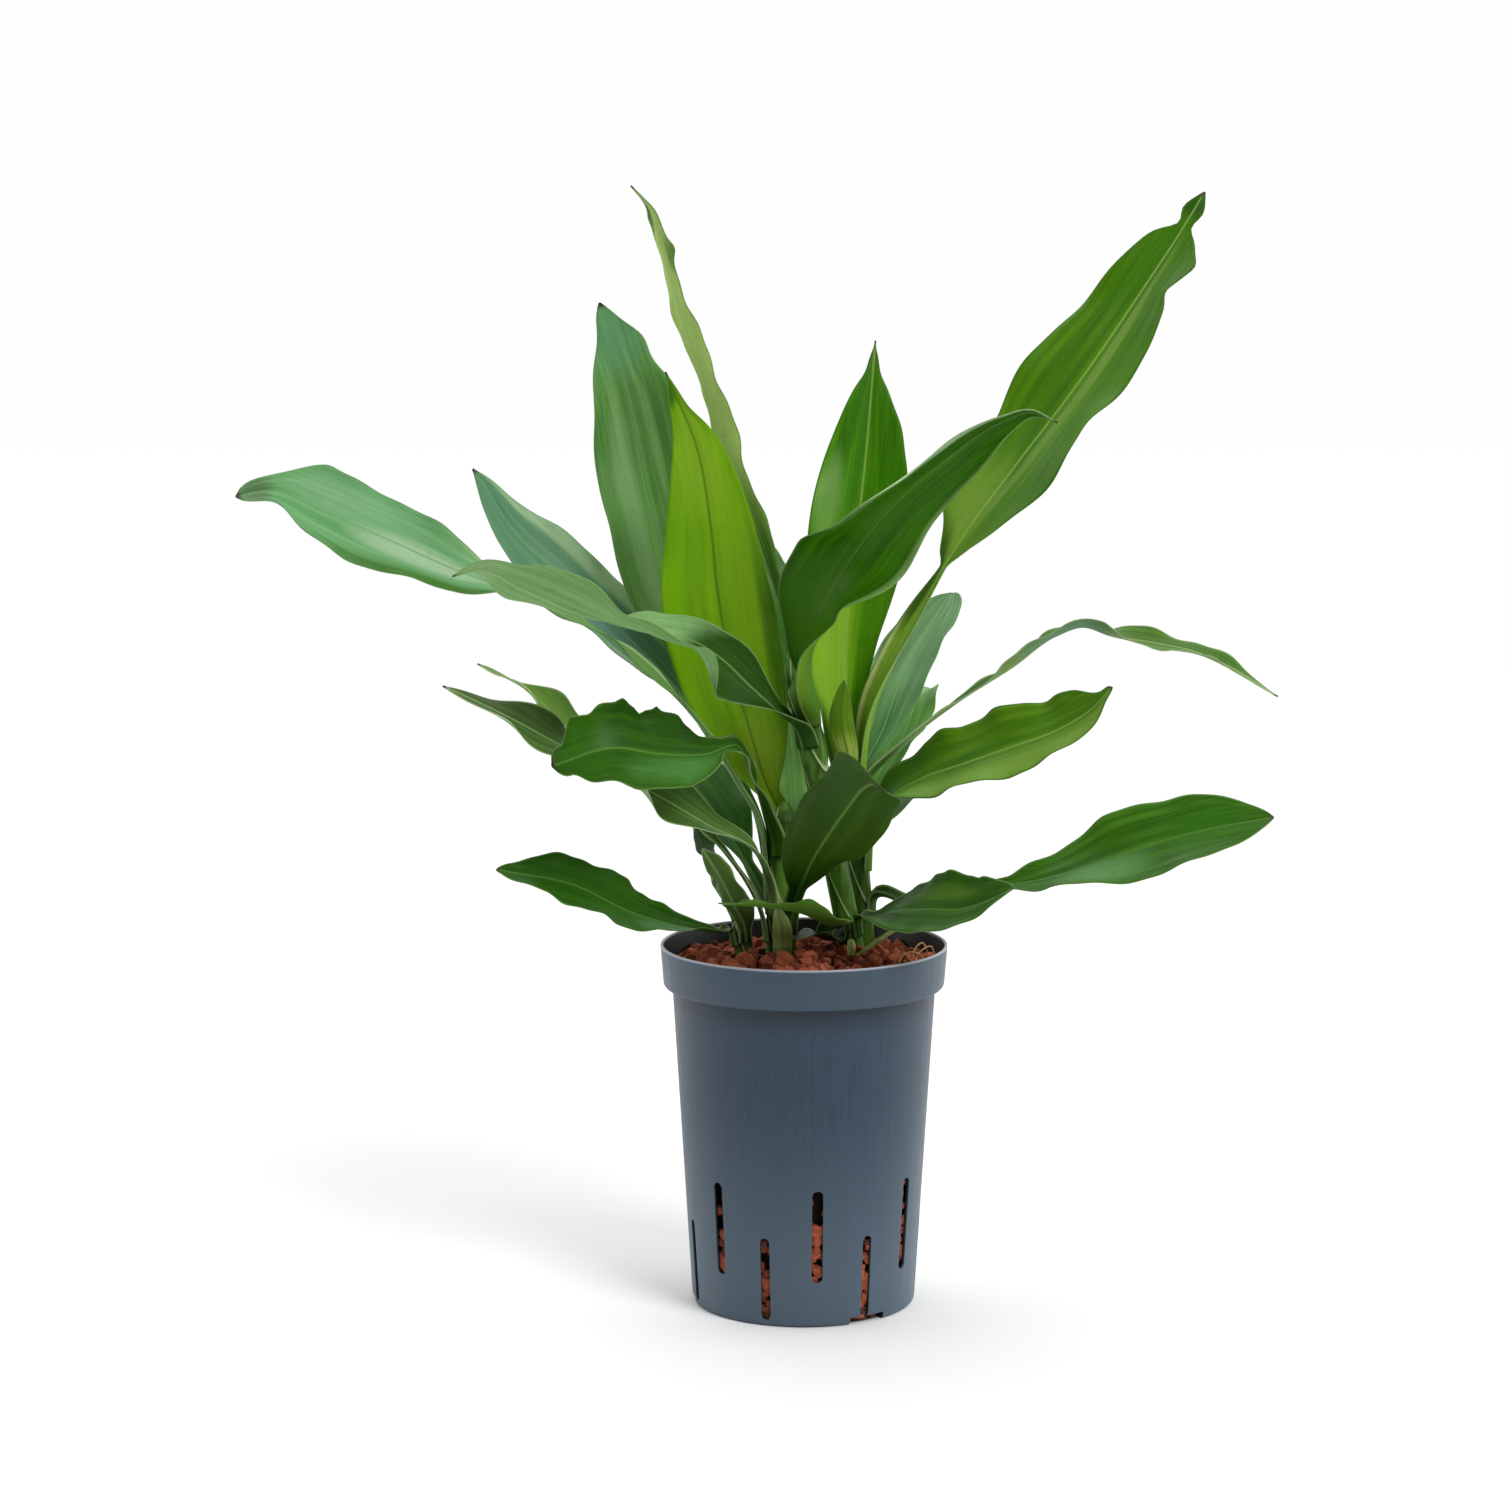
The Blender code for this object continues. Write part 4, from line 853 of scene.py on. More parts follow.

# What a leaf has of its own. Tint multiplies the colours of its blade, "own" changes single colours of its
# look, and "turned" is where its underside comes up and how aslant. Patches are soft places painted paler or
# darker, some the leaf's own tone, some painted sheen and some painted shade: place along, side (-1 to 1),
# their reaches, colour and strength.
leafPaint = {
    "leafBrightFront": {"tint": (1.2, 1.3, 0.3), "patches": [
        (0.6, -0.45, 0.34, 0.45, (130, 178, 14), 0.8), (0.82, 0.1, 0.14, 0.9, (132, 170, 40), 0.6),
        (0.4, -0.95, 0.26, 0.3, (50, 96, 4), 0.9), (0.975, 0.6, 0.05, 1.2, (36, 78, 8), 1.0),
        (0.12, 0.0, 0.16, 1.2, (154, 186, 40), 0.9), (0.22, 0.6, 0.15, 0.5, (92, 136, 8), 0.8)]},
    # its pale lengthwise streaks at the centre are painted sheen
    "leafBlueUpright": {"tint": (1.5, 1.25, 0.85), "patches": [
        (0.96, 0.0, 0.1, 1.2, (106, 166, 126), 0.6), (0.66, 0.42, 0.24, 0.25, (146, 180, 130), 0.45),
        (0.78, -0.3, 0.14, 0.12, (140, 182, 110), 0.5), (0.3, 0.2, 0.14, 0.8, (112, 152, 108), 0.6),
        (0.7, -0.8, 0.2, 0.3, (80, 134, 56), 0.6)]},
    # its whitish patches are painted sheen
    "leafFarLeft": {"own": {
        "blade": (104, 160, 104), "dark": (82, 140, 80), "light": (142, 182, 130),
        "under": (110, 160, 106), "stalk": (118, 152, 84)}, "patches": [
        (0.72, 0.1, 0.12, 0.4, (172, 198, 164), 0.7), (0.7, 1.0, 0.2, 0.5, (50, 104, 14), 1.0),
        (0.34, 0.0, 0.26, 3.0, (92, 132, 56), 0.9), (0.4, -0.9, 0.3, 0.2, (176, 198, 142), 0.8),
        (0.86, -0.5, 0.1, 0.4, (120, 170, 118), 0.6), (0.975, 0.0, 0.03, 1.2, (70, 92, 54), 0.8)]},
    # its whitish patches are painted sheen
    "leafLeftSecond": {"own": {
        "blade": (90, 136, 100), "dark": (78, 124, 92), "light": (108, 150, 116),
        "stalk": (118, 148, 84)}, "patches": [
        (0.72, -0.85, 0.32, 0.3, (168, 196, 152), 0.8), (0.6, 0.3, 0.14, 0.5, (70, 112, 104), 0.6),
        (0.3, 0.0, 0.22, 3.0, (78, 116, 50), 0.9), (0.35, 0.9, 0.3, 0.2, (168, 192, 136), 0.8)]},
    "leafTallThin": {"tint": (1.4, 1.35, 1.1), "patches": [
        (0.2, 0.0, 0.25, 1.6, (40, 86, 6), 0.9), (0.95, -0.8, 0.06, 0.8, (44, 84, 24), 0.9),
        (0.86, 0.9, 0.04, 0.5, (64, 106, 40), 0.8)]},
    # the pale patch high on its side is painted sheen
    "leafCentreBack": {"tint": (0.8, 0.98, 0.1), "patches": [
        (0.25, 0.35, 0.3, 0.8, (140, 186, 36), 0.9), (0.25, -0.7, 0.3, 0.4, (72, 128, 2), 0.9),
        (0.62, 0.75, 0.12, 0.4, (124, 166, 84), 0.6), (0.86, 0.0, 0.16, 1.2, (48, 104, 2), 0.6),
        (0.98, 0.0, 0.05, 1.2, (66, 104, 40), 0.8)]},
    # the pale strip along its upper margin is painted sheen
    "leafArchRight": {"tint": (2.3, 2.0, 0.45), "patches": [
        (0.2, 0.0, 0.22, 1.0, (64, 118, 8), 0.8), (0.76, 0.9, 0.3, 0.35, (172, 198, 154), 1.0),
        (0.45, -0.97, 0.4, 0.12, (116, 154, 84), 0.8)]},
    # the dark patch low on its folded side is painted shade
    "leafTopRight": {"tint": (0.82, 0.8, 0.12), "own": {
        "edge": (60, 106, 20), "stalk": (146, 184, 62)}, "patches": [
        (0.66, -0.2, 0.28, 0.12, (146, 178, 84), 0.4), (0.4, 0.3, 0.12, 0.6, (134, 170, 66), 0.6),
        (0.1, 0.9, 0.2, 0.25, (206, 214, 140), 0.9),
        (0.88, 0.5, 0.1, 0.5, (60, 116, 4), 0.7), (0.975, 0.0, 0.02, 1.6, (36, 78, 10), 0.9),
        (0.3, 0.7, 0.09, 0.7, (30, 70, 4), 0.9)]},
    # the dark patch along its margin is painted shade
    "leafArchLeft": {"turned": (0.47, -0.08), "own": {
        "blade": (34, 76, 2), "dark": (22, 54, 1), "light": (70, 114, 16), "under": (128, 172, 108),
        "rib": (104, 142, 82), "edge": (120, 152, 92)}, "patches": [
        (0.1, 0.0, 0.2, 3.0, (26, 62, 2), 0.8), (0.34, 1.0, 0.1, 0.6, (28, 66, 2), 1.0),
        (0.95, 0.0, 0.06, 1.4, (140, 176, 118), 0.7)]},
    "leafLeftBent": {"tint": (1.0, 0.86, 0.2), "own": {
        "blade": (42, 98, 14), "under": (44, 84, 18)}, "patches": [
        (0.62, 0.5, 0.2, 0.5, (84, 142, 70), 0.6), (0.9, 0.0, 0.08, 1.0, (46, 104, 10), 0.7)]},
    "leafLeftLong": {"own": {
        "blade": (74, 112, 40), "dark": (52, 86, 24), "light": (138, 160, 108),
        "edge": (186, 202, 156), "rib": (156, 178, 120), "stalk": (96, 124, 60)}, "patches": [
        (0.8, -0.6, 0.3, 0.5, (70, 92, 44), 0.8)]},
    "leafLeftUnder": {"own": {"edge": (180, 200, 150), "stalk": (110, 140, 66)}, "patches": [
        (0.85, 0.0, 0.2, 1.5, (112, 150, 56), 0.8)]},
    # its underside is painted dark as shade
    "leafFrontRound": {"tint": (0.95, 0.95, 0.5), "own": {
        "under": (37, 68, 2), "light": (62, 98, 22), "rib": (92, 124, 56),
        "edge": (70, 104, 40)}, "patches": [
        (0.8, -0.5, 0.2, 0.6, (36, 70, 4), 0.6)]},
    "leafLowLeft": {"tint": (0.9, 0.88, 0.2), "patches": [
        (0.35, 0.5, 0.16, 0.6, (66, 124, 60), 0.7), (0.75, 0.0, 0.25, 1.2, (36, 88, 4), 0.6)]},
    "leafRightMid": {"own": {"blade": (80, 128, 4), "stalk": (62, 108, 6)}, "patches": [
        (0.7, -0.6, 0.4, 0.5, (122, 160, 56), 0.8), (0.3, 0.3, 0.14, 0.7, (58, 108, 2), 0.7)]},
    "leafRightLow": {"tint": (1.8, 1.4, 1.6), "patches": [
        (0.62, -0.4, 0.12, 0.5, (104, 158, 96), 0.6), (0.85, 0.2, 0.12, 0.7, (46, 110, 14), 0.6)]},
    "leafRightThin": {"tint": (0.8, 0.85, 0.7), "own": {"edge": (166, 188, 140)}, "patches": [
        (0.56, -0.5, 0.12, 0.8, (70, 122, 96), 0.8), (0.8, 0.2, 0.18, 0.8, (66, 106, 22), 0.9),
        (0.3, 0.5, 0.2, 0.5, (60, 96, 40), 0.8)]},
    "leafRightFrontLow": {"tint": (1.0, 1.05, 0.1), "own": {"blade": (42, 84, 4)}, "patches": [
        (0.6, 0.5, 0.25, 0.25, (88, 124, 34), 0.6), (0.3, -0.5, 0.2, 0.6, (16, 42, 2), 0.8)]},
    "leafRightBack": {"own": {"blade": (104, 150, 90)}, "patches": [
        (0.6, -0.8, 0.3, 0.5, (70, 114, 70), 0.7), (0.2, 0.0, 0.3, 0.5, (44, 88, 40), 0.6)]},
    "footSheath": {"tint": (1.7, 1.5, 1.3), "own": {
        "blade": (140, 184, 96), "under": (150, 190, 104), "dark": (96, 144, 60),
        "light": (190, 212, 150), "edge": (214, 222, 184)}},
    "footStrap": {"tint": (0.7, 0.7, 0.5)},
    "leafRightBackLow": {"tint": (2.3, 2.0, 1.1)},
    "leafBackGrey": {"tint": (2.3, 1.7, 1.2)},
    "leafBackRight": {"tint": (0.5, 0.5, 0.3)},
    "leafBackTall": {"tint": (1.1, 1.2, 0.4)},
    "leafSpear": {"tint": (1.7, 1.6, 0.4), "patches": [(0.05, 0.0, 0.4, 1.6, (186, 200, 96), 0.95)]},
    "leafFrontLow": {"tint": (1.9, 1.8, 1.8), "own": {"rib": (110, 150, 70), "stalk": (20, 48, 6)}},
    "leafLeftShort": {"tint": (0.95, 1.2, 0.4), "own": {"edge": (150, 172, 122)}},
    "leafLeftShorter": {"own": {
        "blade": (28, 60, 10), "light": (62, 92, 40), "rib": (140, 164, 116),
        "edge": (164, 184, 140), "stalk": (24, 52, 8)}},
}


# evenly spaced points on a smooth curve through the given ones
def smoothCourse(points, count):
    knots = np.concatenate([[0], np.cumsum(np.linalg.norm(np.diff(points, axis=0), axis=1))])
    slopes = np.gradient(points, knots, axis=0)
    dense = np.linspace(0, knots[-1], 60 * len(points))
    i = np.clip(np.searchsorted(knots, dense, side="right") - 1, 0, len(knots) - 2)
    span = (knots[i + 1] - knots[i])[:, None]
    t = (dense - knots[i])[:, None] / span
    curve = (2 * t**3 - 3 * t**2 + 1) * points[i] + (t**3 - 2 * t**2 + t) * span * slopes[i]
    curve += (3 * t**2 - 2 * t**3) * points[i + 1] + (t**3 - t**2) * span * slopes[i + 1]
    run = np.concatenate([[0], np.cumsum(np.linalg.norm(np.diff(curve, axis=0), axis=1))])
    even = np.linspace(0, run[-1], count + 1)
    return np.stack([np.interp(even, run, curve[:, k]) for k in range(3)], axis=1)


# values spread evenly along the leaf, eased from each to the next
def spread(values, u):
    values = np.asarray(values, float)
    place = u * (len(values) - 1)
    i = np.clip(place.astype(int), 0, max(0, len(values) - 2))
    t = place - i
    t = t * t * (3 - 2 * t)
    return values[i] * (1 - t) + values[np.minimum(i + 1, len(values) - 1)] * t


def unit(vectors):
    return vectors / np.linalg.norm(vectors, axis=-1)[..., None]


# how far the leaf's foot stands from its stem's axis
def stemOff(leaf):
    return stemShapes[leaf["stem"]]["radius"] * mm + leafRule["stemGap"]


def midrib(leaf, rows):
    stem = stemShapes[leaf["stem"]]
    bearing = math.radians(leaf["bearing"])
    out = Vector((math.cos(bearing), math.sin(bearing), 0))
    base = stemPoint(stem, leaf["height"]) + out * stemOff(leaf)
    sheath = stemPoint(stem, leaf["height"] + leafRule["sheathRise"]) + out * (stemOff(leaf) + mm)
    return smoothCourse(np.array([base, sheath, *[Vector(point) * mm for point in leaf["course"]]]), rows)


# the direction across the blade and its upper normal, at each point of the midrib
def bladeFrame(leaf, points, u):
    tangent = unit(np.gradient(points, axis=0))
    bearing, faces = math.radians(leaf["bearing"]), math.radians(leaf["faces"])
    swing = (faces - bearing + math.pi) % (2 * math.pi) - math.pi
    heading = bearing + swing * np.clip(u / leafRule["turnShare"], 0, 1)
    across = np.stack([-np.sin(heading), np.cos(heading), 0 * heading], axis=1)
    across = unit(across - (across * tangent).sum(axis=1)[:, None] * tangent)
    up = np.cross(tangent, across)
    roll = np.radians(spread((0, *leaf.get("roll", (0,))), u))[:, None]
    return across * np.cos(roll) + up * np.sin(roll), up * np.cos(roll) - across * np.sin(roll)


# a stalk that fades out and a lance-shaped blade, joined smoothly
def halfWidth(leaf, u):
    rule = leafRule
    neck, belly, full = leaf.get("neck", 0.2), leaf.get("belly", 0.5), leaf.get("full", 1.8)
    v = np.clip((u - neck) / (1 - neck), 0, 1)
    rise, fall = full * belly, full * (1 - belly)
    lance = v**rise * (1 - v) ** fall / (belly**rise * (1 - belly) ** fall)
    blade = leaf["width"] * mm / 2 * lance
    stalk = leaf.get("stalk", rule["stalk"]) * mm
    stalk = stalk * np.clip(1 - u / rule["stalkEnd"], 0, 1) ** rule["stalkFade"]
    return np.maximum(np.sqrt(blade**2 + stalk**2), rule["tipWidth"])


# how much the lobes swell or draw in each margin
def lobed(leaf, u, side):
    share = np.ones((len(u), side.shape[1]))
    for which, place, size, reach in leaf.get("lobes", ()):
        bump = np.exp(-(((u - place) / reach) ** 2))[:, None]
        share += size * bump * (1 if which == 0 else np.clip(side * which, 0, 1) ** 0.7)
    return share


# the middle surface: a channel that opens into a waved, pleated blade
def bladeSurface(leaf, rows, columns):
    rule = leafRule
    points = midrib(leaf, rows)
    u = np.linspace(0, 1, rows + 1)
    across, up = bladeFrame(leaf, points, u)
    side = np.linspace(-1, 1, columns + 1)[None, :]
    half = halfWidth(leaf, u)[:, None] * lobed(leaf, u, side)
    hug = half[0, 0] / stemOff(leaf)
    fold = spread((hug, *leaf.get("fold", rule["fold"])), u)[:, None]
    reach = np.sin(fold * side) / fold * half
    rise = (1 - np.cos(fold * side)) / fold * half
    height, count, *phases = leaf["wave"]
    leftPhase, rightPhase = phases or rule["phases"]
    begin, whole, fading = rule["wavesFrom"]
    fade = (np.clip((u - begin) / (whole - begin), 0, 1) * np.clip((1 - u) / (1 - fading), 0, 1))[:, None]
    left = np.sin(2 * math.pi * (count * u + leftPhase))[:, None]
    right = np.sin(2 * math.pi * (rule["rightWaves"] * count * u + rightPhase))[:, None]
    rise = rise + height * mm * fade * side**2 * np.where(side < 0, left, right)
    # finer than the solids: lengthwise pleats, a groove along the midrib and a ripple at the margins
    wide = np.clip(half / rule["fullRelief"], 0, 1)
    rise = rise + rule["pleat"] * wide * np.cos(2 * math.pi * rule["pleats"] * side) * (1 - side**4)
    rise = rise - rule["rib"] * wide * np.exp(-(side * half / rule["ribWidth"]) ** 2)
    quick = rule["ripples"] * count * u[:, None] + leftPhase + side * rule["rippleSlant"]
    rise = rise + rule["ripple"] * fade * side**4 * np.sin(2 * math.pi * quick)
    surface = points[:, None] + reach[..., None] * across[:, None] + rise[..., None] * up[:, None]
    return surface, u, side, half


# the blade's two faces, thinner at the margins, joined by a rim
def buildLeaf(name, leaf):
    rule = leafRule
    rows, columns = rule["rows"], rule["columns"]
    surface, u, side, half = bladeSurface(leaf, rows, columns)
    normal = unit(np.cross(np.gradient(surface, axis=0), np.gradient(surface, axis=1)))
    margin = np.clip((np.abs(side) - rule["marginFrom"]) / (1 - rule["marginFrom"]), 0, 1)
    thick = rule["thick"] / 2 * (1 - (1 - rule["thinMargin"]) * margin)[..., None]
    top, bottom = surface + normal * thick, surface - normal * thick
    across = columns + 1
    count = (rows + 1) * across
    index = np.arange(count).reshape(rows + 1, across)
    quads = np.stack([index[:-1, :-1], index[1:, :-1], index[1:, 1:], index[:-1, 1:]], axis=-1).reshape(-1, 4)
    ring = np.concatenate([index[0, :-1], index[:-1, -1], index[-1, :0:-1], index[:0:-1, 0]])
    rim = np.stack([ring, np.roll(ring, -1), np.roll(ring, -1) + count, ring + count], axis=-1)
    faces = np.concatenate([quads, quads[:, ::-1] + count, rim])
    mesh = bpy.data.meshes.new(name)
    spots = np.concatenate([top.reshape(-1, 3), bottom.reshape(-1, 3)])
    low, high = np.array(cadBox) + [[rule["within"]], [-rule["within"]]]
    mesh.from_pydata(np.clip(spots, low, high).tolist(), [], faces.tolist())
    # for the material: along, side and half width in mm, and which face is the underside
    place = np.stack([np.repeat(u[:, None], across, axis=1), np.repeat(side, rows + 1, axis=0),
                      half / mm], axis=-1)
    place = np.concatenate([place.reshape(-1, 3)] * 2).astype(np.float32)
    mesh.attributes.new("bladePlace", "FLOAT_VECTOR", "POINT").data.foreach_set("vector", place.ravel())
    under = np.repeat([0.0, 1.0], count).astype(np.float32)
    mesh.attributes.new("under", "FLOAT", "POINT").data.foreach_set("value", under)
    mesh.shade_smooth()
    mesh.materials.append(leafSkin(name, leaf))
    return newObject(name, mesh)


# a waxy blade: streaks along the veins, a midrib line, soft patches of own tone, painted sheen and painted
# shade, margins and a duller back
def leafSkin(name, leaf):
    paint = leafPaint.get(name, {})
    look = {**leafLooks[leaf["look"]], **paint.get("own", {})}
    look = {part: srgb(*value) if isinstance(value, tuple) else value for part, value in look.items()}
    for part in ("blade", "dark", "light", "under"):
        look[part] = tuple(a * b for a, b in zip(look[part], paint.get("tint", (1, 1, 1))))
    material, tree, shader = newMaterial(f"{name}Skin")
    here = objectPlace(tree)
    along, side, half = parted(tree, attribute(tree, "bladePlace", "Vector"))
    under = attribute(tree, "under")
    beside = sums(tree, "ABSOLUTE", side)
    offset = sums(tree, "MULTIPLY", side, half)
    fromRib = sums(tree, "MULTIPLY", beside, half)
    fromEdge = sums(tree, "MULTIPLY", sums(tree, "SUBTRACT", 1.0, beside), half)
    streaks = noise(tree, joined(tree, sums(tree, "MULTIPLY", along, 2.2), sums(tree, "MULTIPLY", side, 4.5),
                                 float(len(name))), 1.0)
    veins = noise(tree, joined(tree, sums(tree, "MULTIPLY", along, 3.0), sums(tree, "MULTIPLY", offset, 1.2),
                               3.0), 1.0)
    clouds = noise(tree, here, 28.0, 3.0)
    colour = blend(tree, eased(tree, streaks, 0.28, 0.68), look["dark"], look["blade"])
    colour = blend(tree, eased(tree, streaks, 0.5, 0.85, 0.0, 0.5), colour, look["light"])
    colour = blend(tree, eased(tree, clouds, 0.35, 0.7, 0.0, 0.6), colour, look["blade"])
    back = blend(tree, eased(tree, streaks, 0.35, 0.7, 0.0, 0.35), look["under"], look["light"])
    if "turned" in paint:  # past this place along the blade its underside shows
        begin, slant = paint["turned"]
        past = sums(tree, "ADD", along, sums(tree, "MULTIPLY", side, slant))
        under = sums(tree, "MAXIMUM", under, eased(tree, past, begin - 0.045, begin + 0.045))
    colour = blend(tree, under, colour, back)
    neck = leaf.get("neck", 0.2)
    stalk = eased(tree, along, neck * 0.7 + 0.22, neck * 0.4, 0.0, 0.85)
    colour = blend(tree, stalk, colour, look["stalk"])
    margin = sums(tree, "MULTIPLY", stalk, eased(tree, fromEdge, 1.7, 0.7, 0.0, 0.8))
    colour = blend(tree, margin, colour, srgb(*stalkMargin))
    wobble = sums(tree, "MULTIPLY", sums(tree, "SUBTRACT", streaks, 0.5), 1.4)
    # patches: some the leaf's own tone, some painted sheen and some painted shade
    for down, over, length, width, tint, strength in paint.get("patches", ()):
        a = sums(tree, "DIVIDE", sums(tree, "SUBTRACT", along, down), length)
        b = sums(tree, "DIVIDE", sums(tree, "SUBTRACT", side, over), width)
        away = sums(tree, "ADD", sums(tree, "MULTIPLY", a, a), sums(tree, "MULTIPLY", b, b))
        near = eased(tree, sums(tree, "ADD", away, wobble), 1.3, 0.0, 0.0, strength)
        colour = blend(tree, near, colour, srgb(*tint))
    colour = blend(tree, eased(tree, veins, 0.4, 0.75, 0.0, 0.24), colour, look["light"])
    colour = blend(tree, eased(tree, veins, 0.55, 0.25, 0.0, 0.32), colour, look["dark"])
    mottle = noise(tree, here, 150.0, 4.0, 0.7)
    colour = blend(tree, eased(tree, mottle, 0.55, 0.75, 0.0, 0.25), colour, look["dark"])
    colour = blend(tree, eased(tree, fromRib, 1.0, 0.25, 0.0, 0.7), colour, look["rib"])
    colour = blend(tree, eased(tree, fromEdge, 0.9, 0.3, 0.0, 0.7), colour, look["edge"])
    drying = sums(tree, "ADD", along, sums(tree, "MULTIPLY", sums(tree, "SUBTRACT", clouds, 0.5), 0.02))
    colour = blend(tree, eased(tree, drying, 0.986, 0.998), colour, srgb(*driedTip))
    gloss = eased(tree, clouds, 0.3, 0.7, look["gloss"], look["gloss"] + 0.12)
    relief = sums(tree, "ADD", sums(tree, "MULTIPLY", veins, 0.6), streaks)
    wire(tree, shader, {
        "Base Color": colour, "Roughness": sums(tree, "ADD", gloss, sums(tree, "MULTIPLY", under, 0.12)),
        "Specular IOR Level": 0.12, "Normal": bumps(tree, relief, 0.25, 0.4 * mm)})
    return material


# Small things at the foot: leaf bases that clasp the stems, a bud, a bare stalk and root threads.

footLeaves = {
    "footSheath": {
        "stem": "stemMiddle", "height": 183, "bearing": -85, "faces": -85,
        "course": [(-11.5, 2, 198), (-14, -3, 209)], "width": 9, "neck": 0, "full": 1.2, "stalk": 5,
        "wave": (0.5, 1), "look": "pale", "slot": "leaf_pale"},
    "footStrap": {
        "stem": "stemTall", "height": 185, "bearing": 215, "faces": 215,
        "course": [(14, 12, 190), (5, 2, 194), (-5, -8, 193)], "width": 20, "neck": 0, "full": 1.2,
        "stalk": 6, "wave": (1, 1), "look": "dark", "slot": "leaf_dark"},
}
footRods = {
    "footTwig": {"course": [(53, -12, 203), (41, -10, 195), (27, -7, 184)],
                 "radius": 1.3, "slot": "leaf_pale"},
    "footBud": {"course": [(24, -10, 185), (24.5, -11, 190), (24, -12, 194)],
                "radius": 2.3, "slot": "leaf_pale"},
    "rootThreadA": {"course": [(55, -14, 182), (58, -12, 190), (61, -10, 192), (65, -9, 184)],
                    "radius": 0.5, "slot": "stem"},
    "rootThreadB": {"course": [(57, -18, 182), (60, -14, 188), (66, -10, 190), (68, -8, 183)],
                    "radius": 0.4, "slot": "stem"},
    "rootThreadC": {"course": [(48, -20, 182), (53, -17, 188), (60, -16, 187), (63, -18, 182)],
                    "radius": 0.4, "slot": "stem"},
}
rodRule = {"steps": 16, "sides": 10, "endShare": 0.4}
rodLooks = {
    "rootFibre": ((150, 104, 62), (196, 160, 112)),
    "paleTissue": ((162, 196, 84), (222, 232, 168)),
}


# a thin round rod along a smooth course, narrower at its ends
def buildRod(name, rod):
    steps, sides, ends = rodRule["steps"], rodRule["sides"], rodRule["endShare"]
    points = smoothCourse(np.array(rod["course"], float) * mm, steps)
    tangent = unit(np.gradient(points, axis=0))
    across = unit(np.cross(tangent, (0.3, 0.9, 0.2)))
    up = np.cross(tangent, across)
    turn = np.linspace(0, 2 * math.pi, sides, endpoint=False)[None, :, None]
    swell = ends + (1 - ends) * np.sqrt(np.sin(np.linspace(0, math.pi, steps + 1)).clip(0, 1))
    ring = np.cos(turn) * across[:, None] + np.sin(turn) * up[:, None]
    spots = points[:, None] + rod["radius"] * mm * swell[:, None, None] * ring
    faces = []
    for i in range(steps):
        for j in range(sides):
            k = (j + 1) % sides
            faces.append((i * sides + j, i * sides + k, (i + 1) * sides + k, (i + 1) * sides + j))
    faces.append(tuple(range(sides))[::-1])
    faces.append(tuple(range(steps * sides, (steps + 1) * sides)))
    mesh = bpy.data.meshes.new(name)
    mesh.from_pydata(spots.reshape(-1, 3).tolist(), [], faces)
    mesh.shade_smooth()
    mesh.materials.append(rodSkin("rootFibre" if rod["slot"] == "stem" else "paleTissue"))
    return newObject(name, mesh)


# pale green stalk or tan root, streaked and a little dull
def rodSkin(name):
    if name in bpy.data.materials:
        return bpy.data.materials[name]
    first, second = rodLooks[name]
    material, tree, shader = newMaterial(name)
    patch = noise(tree, objectPlace(tree), 260.0, 3.0, 0.6)
    wire(tree, shader, {
        "Base Color": blend(tree, eased(tree, patch, 0.3, 0.7), srgb(*first), srgb(*second)),
        "Roughness": 0.6, "Specular IOR Level": 0.2, "Normal": bumps(tree, patch, 0.3, 0.2 * mm)})
    return material


def buildFoot():
    for name, leaf in footLeaves.items():
        settle(buildLeaf(name, leaf), leaf["slot"])
    for name, rod in footRods.items():
        settle(buildRod(name, rod), rod["slot"])


# The stage: a pale floor, soft light, and the camera at the photograph's angle.

stageSizes = {"floor": ((-6, -4), (6, 8)), "floorTone": 0.855, "backdrop": 0.99}  # in metres
stageLamps = {  # kind, place, aimed at, size in metres or degrees, and strength
    "keyRight": ("SUN", (1.3, -1.5, 2.0), (0, 0, 0.2), 26, 1.9),
    "topBack": ("AREA", (-0.3, 1.0, 1.8), (0, 0, 0.35), 1.2, 7),
    "sideLeft": ("AREA", (-1.5, 0.2, 0.7), (0, 0, 0.2), 1.0, 5),
    "sideRight": ("AREA", (1.5, 0.4, 0.6), (0, 0, 0.15), 1.0, 5),
}
# the photograph's width and focal length in its pixels, and where it was taken from, tilted down in degrees
photoView = {"width": 1512, "focal": 3712, "place": (-0.025, -1.906, 0.554), "tilt": 7.93}


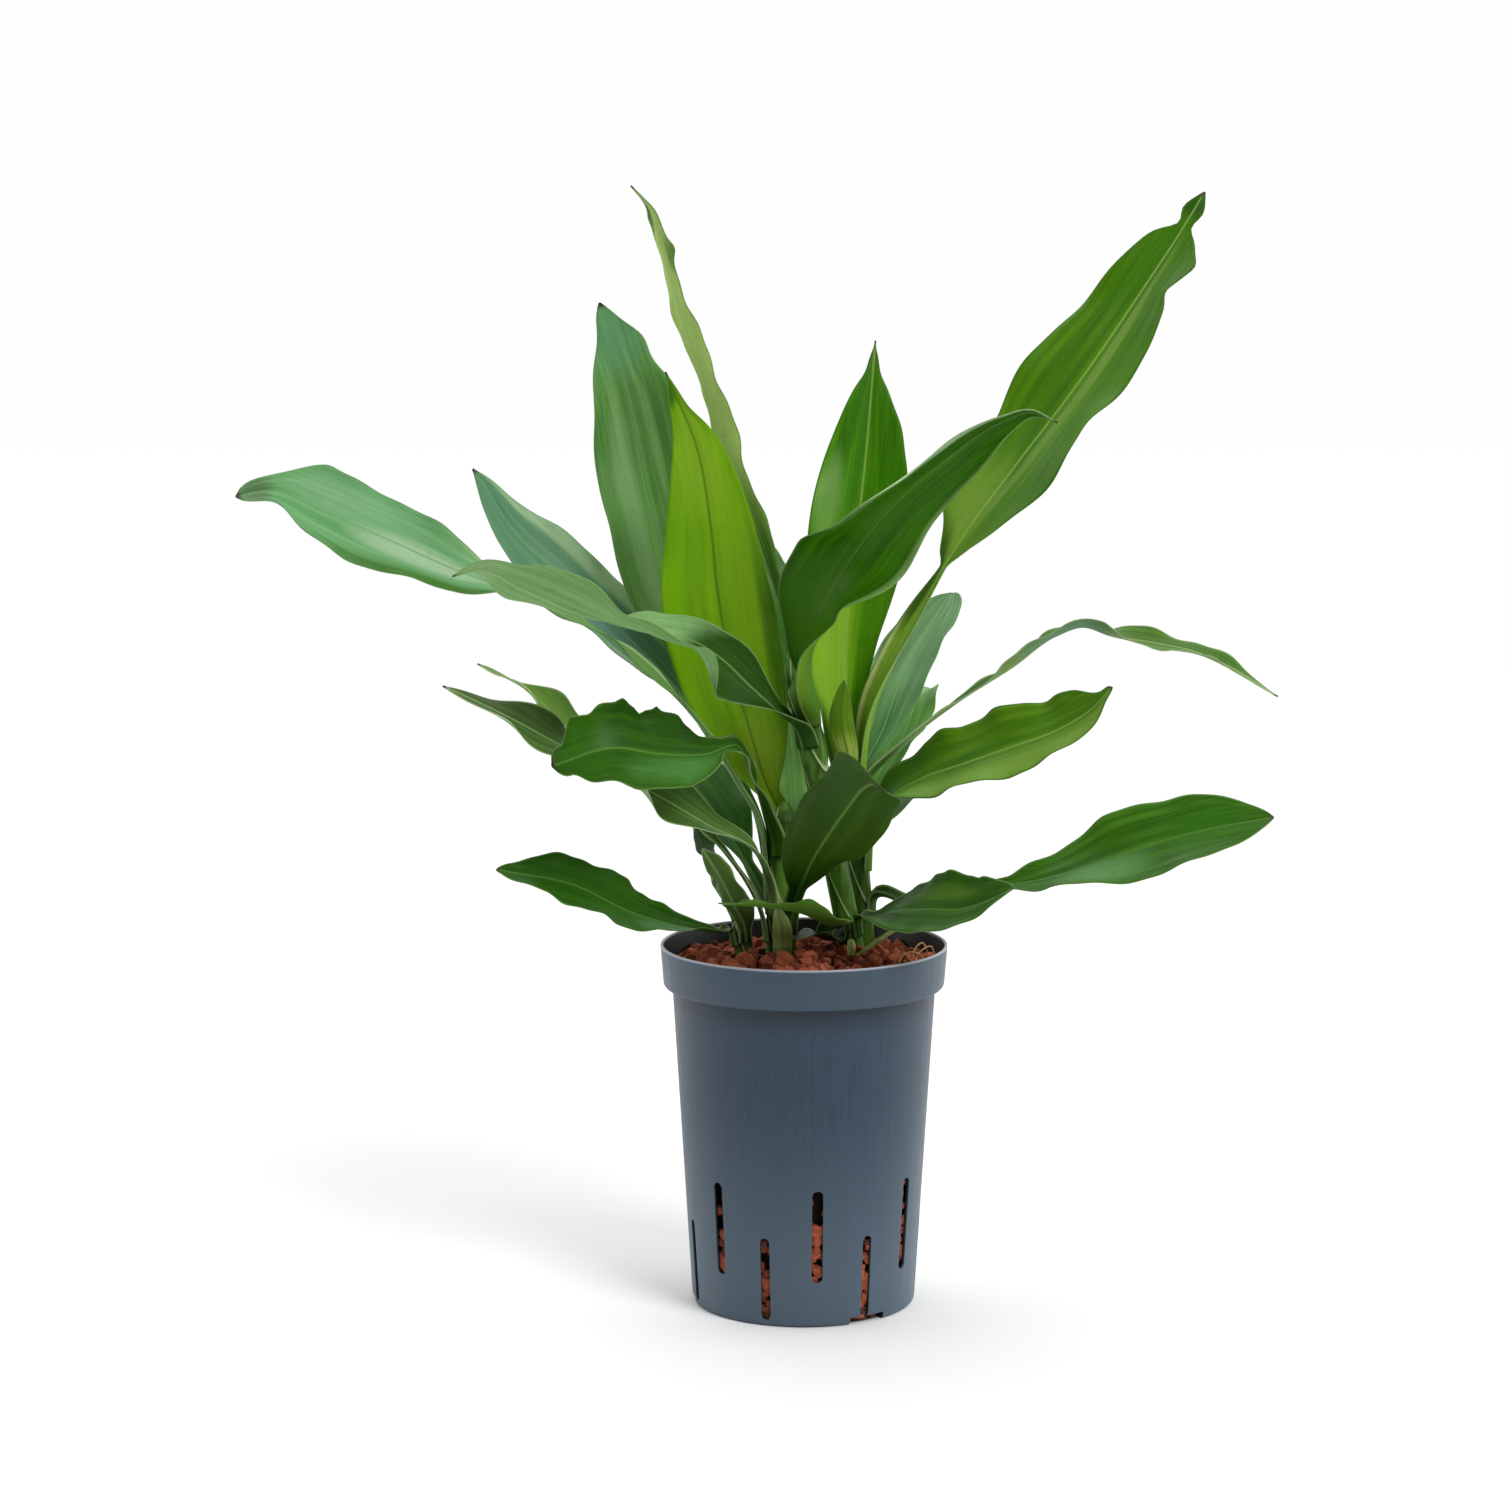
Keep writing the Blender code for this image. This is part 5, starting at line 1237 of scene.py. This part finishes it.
def buildStage():
    (left, front), (right, back) = stageSizes["floor"]
    mesh = bpy.data.meshes.new("floor")
    corners = [(left, front, 0), (right, front, 0), (right, back, 0), (left, back, 0)]
    mesh.from_pydata(corners, [], [(0, 1, 2, 3)])
    material, tree, shader = newMaterial("paleFloor")
    wire(tree, shader, {"Base Color": (*[stageSizes["floorTone"]] * 3, 1), "Roughness": 0.8,
                        "Specular IOR Level": 0.1})
    mesh.materials.append(material)
    floor = newObject("floor", mesh)
    bpy.context.scene.view_settings.view_transform = "Standard"
    bpy.context.scene.world = studioWorld()
    for name, (kind, place, aim, size, strength) in stageLamps.items():
        light = bpy.data.lights.new(name, kind)
        light.energy = strength
        if kind == "SUN":
            light.angle = math.radians(size)
        else:
            light.shape = "SQUARE"
            light.size = size
        lamp = newObject(name, light)
        lamp.location = place
        lamp.rotation_euler = (Vector(aim) - Vector(place)).to_track_quat("-Z", "Y").to_euler()


# white behind the object and overhead, dim on the side where the room is
def studioWorld():
    world = bpy.data.worlds.new("studio")
    world.use_nodes = True
    tree = world.node_tree
    light = tree.nodes["Background"]
    where = parted(tree, put(tree, "ShaderNodeTexCoord")["Generated"])
    room = eased(tree, where[1], -0.7, 0.6, 0.12, 1.0)
    above = eased(tree, where[2], 0.2, 1.0, 0.0, 0.3)
    wire(tree, light, ((1, 1, 1, 1), sums(tree, "ADD", room, above)))
    plain = put(tree, "ShaderNodeBackground", ((1, 1, 1, 1), stageSizes["backdrop"]))[0]
    seen = put(tree, "ShaderNodeLightPath")["Is Camera Ray"]
    mixed = put(tree, "ShaderNodeMixShader", (seen, light.outputs[0], plain))[0]
    wire(tree, tree.nodes["World Output"], (mixed,))
    return world


def buildCamera():
    lens = bpy.data.cameras.new("camera")
    lens.sensor_width = 36
    lens.lens = 36 * photoView["focal"] / photoView["width"]
    camera = newObject("camera", lens)
    camera.location = photoView["place"]
    camera.rotation_euler = (math.radians(90 - photoView["tilt"]), 0, 0)
    bpy.context.scene.camera = camera


# hangs a piece on the root and hides the solids that it stands for; its slot is not used
def settle(piece, slot, *nodes):
    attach(piece, "root")
    if nodes:
        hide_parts(*nodes)


def main():
    slots = {row["node"]: row["material_slot"] for row in frame["record"]["subparts"]}
    for stem in buildStems():
        settle(stem, slots[nodeOf(stem.name)], nodeOf(stem.name))
    print("stems", len(stemShapes))
    granules = buildGranules()
    bpy.data.objects.remove(bpy.data.objects["allStems"])
    settle(granules, "granules", "granules")
    print("granules", len(granules.data.polygons))
    pot = buildPot()
    settle(pot, "pot", "pot")
    print("pot", len(pot.data.polygons))
    for name, leaf in leafShapes.items():
        settle(buildLeaf(name, leaf), slots[nodeOf(name)], nodeOf(name))
    print("leaves", len(leafShapes))
    buildFoot()
    print("foot", len(footLeaves) + len(footRods))
    buildStage()
    buildCamera()
    print("stage and camera")


main()
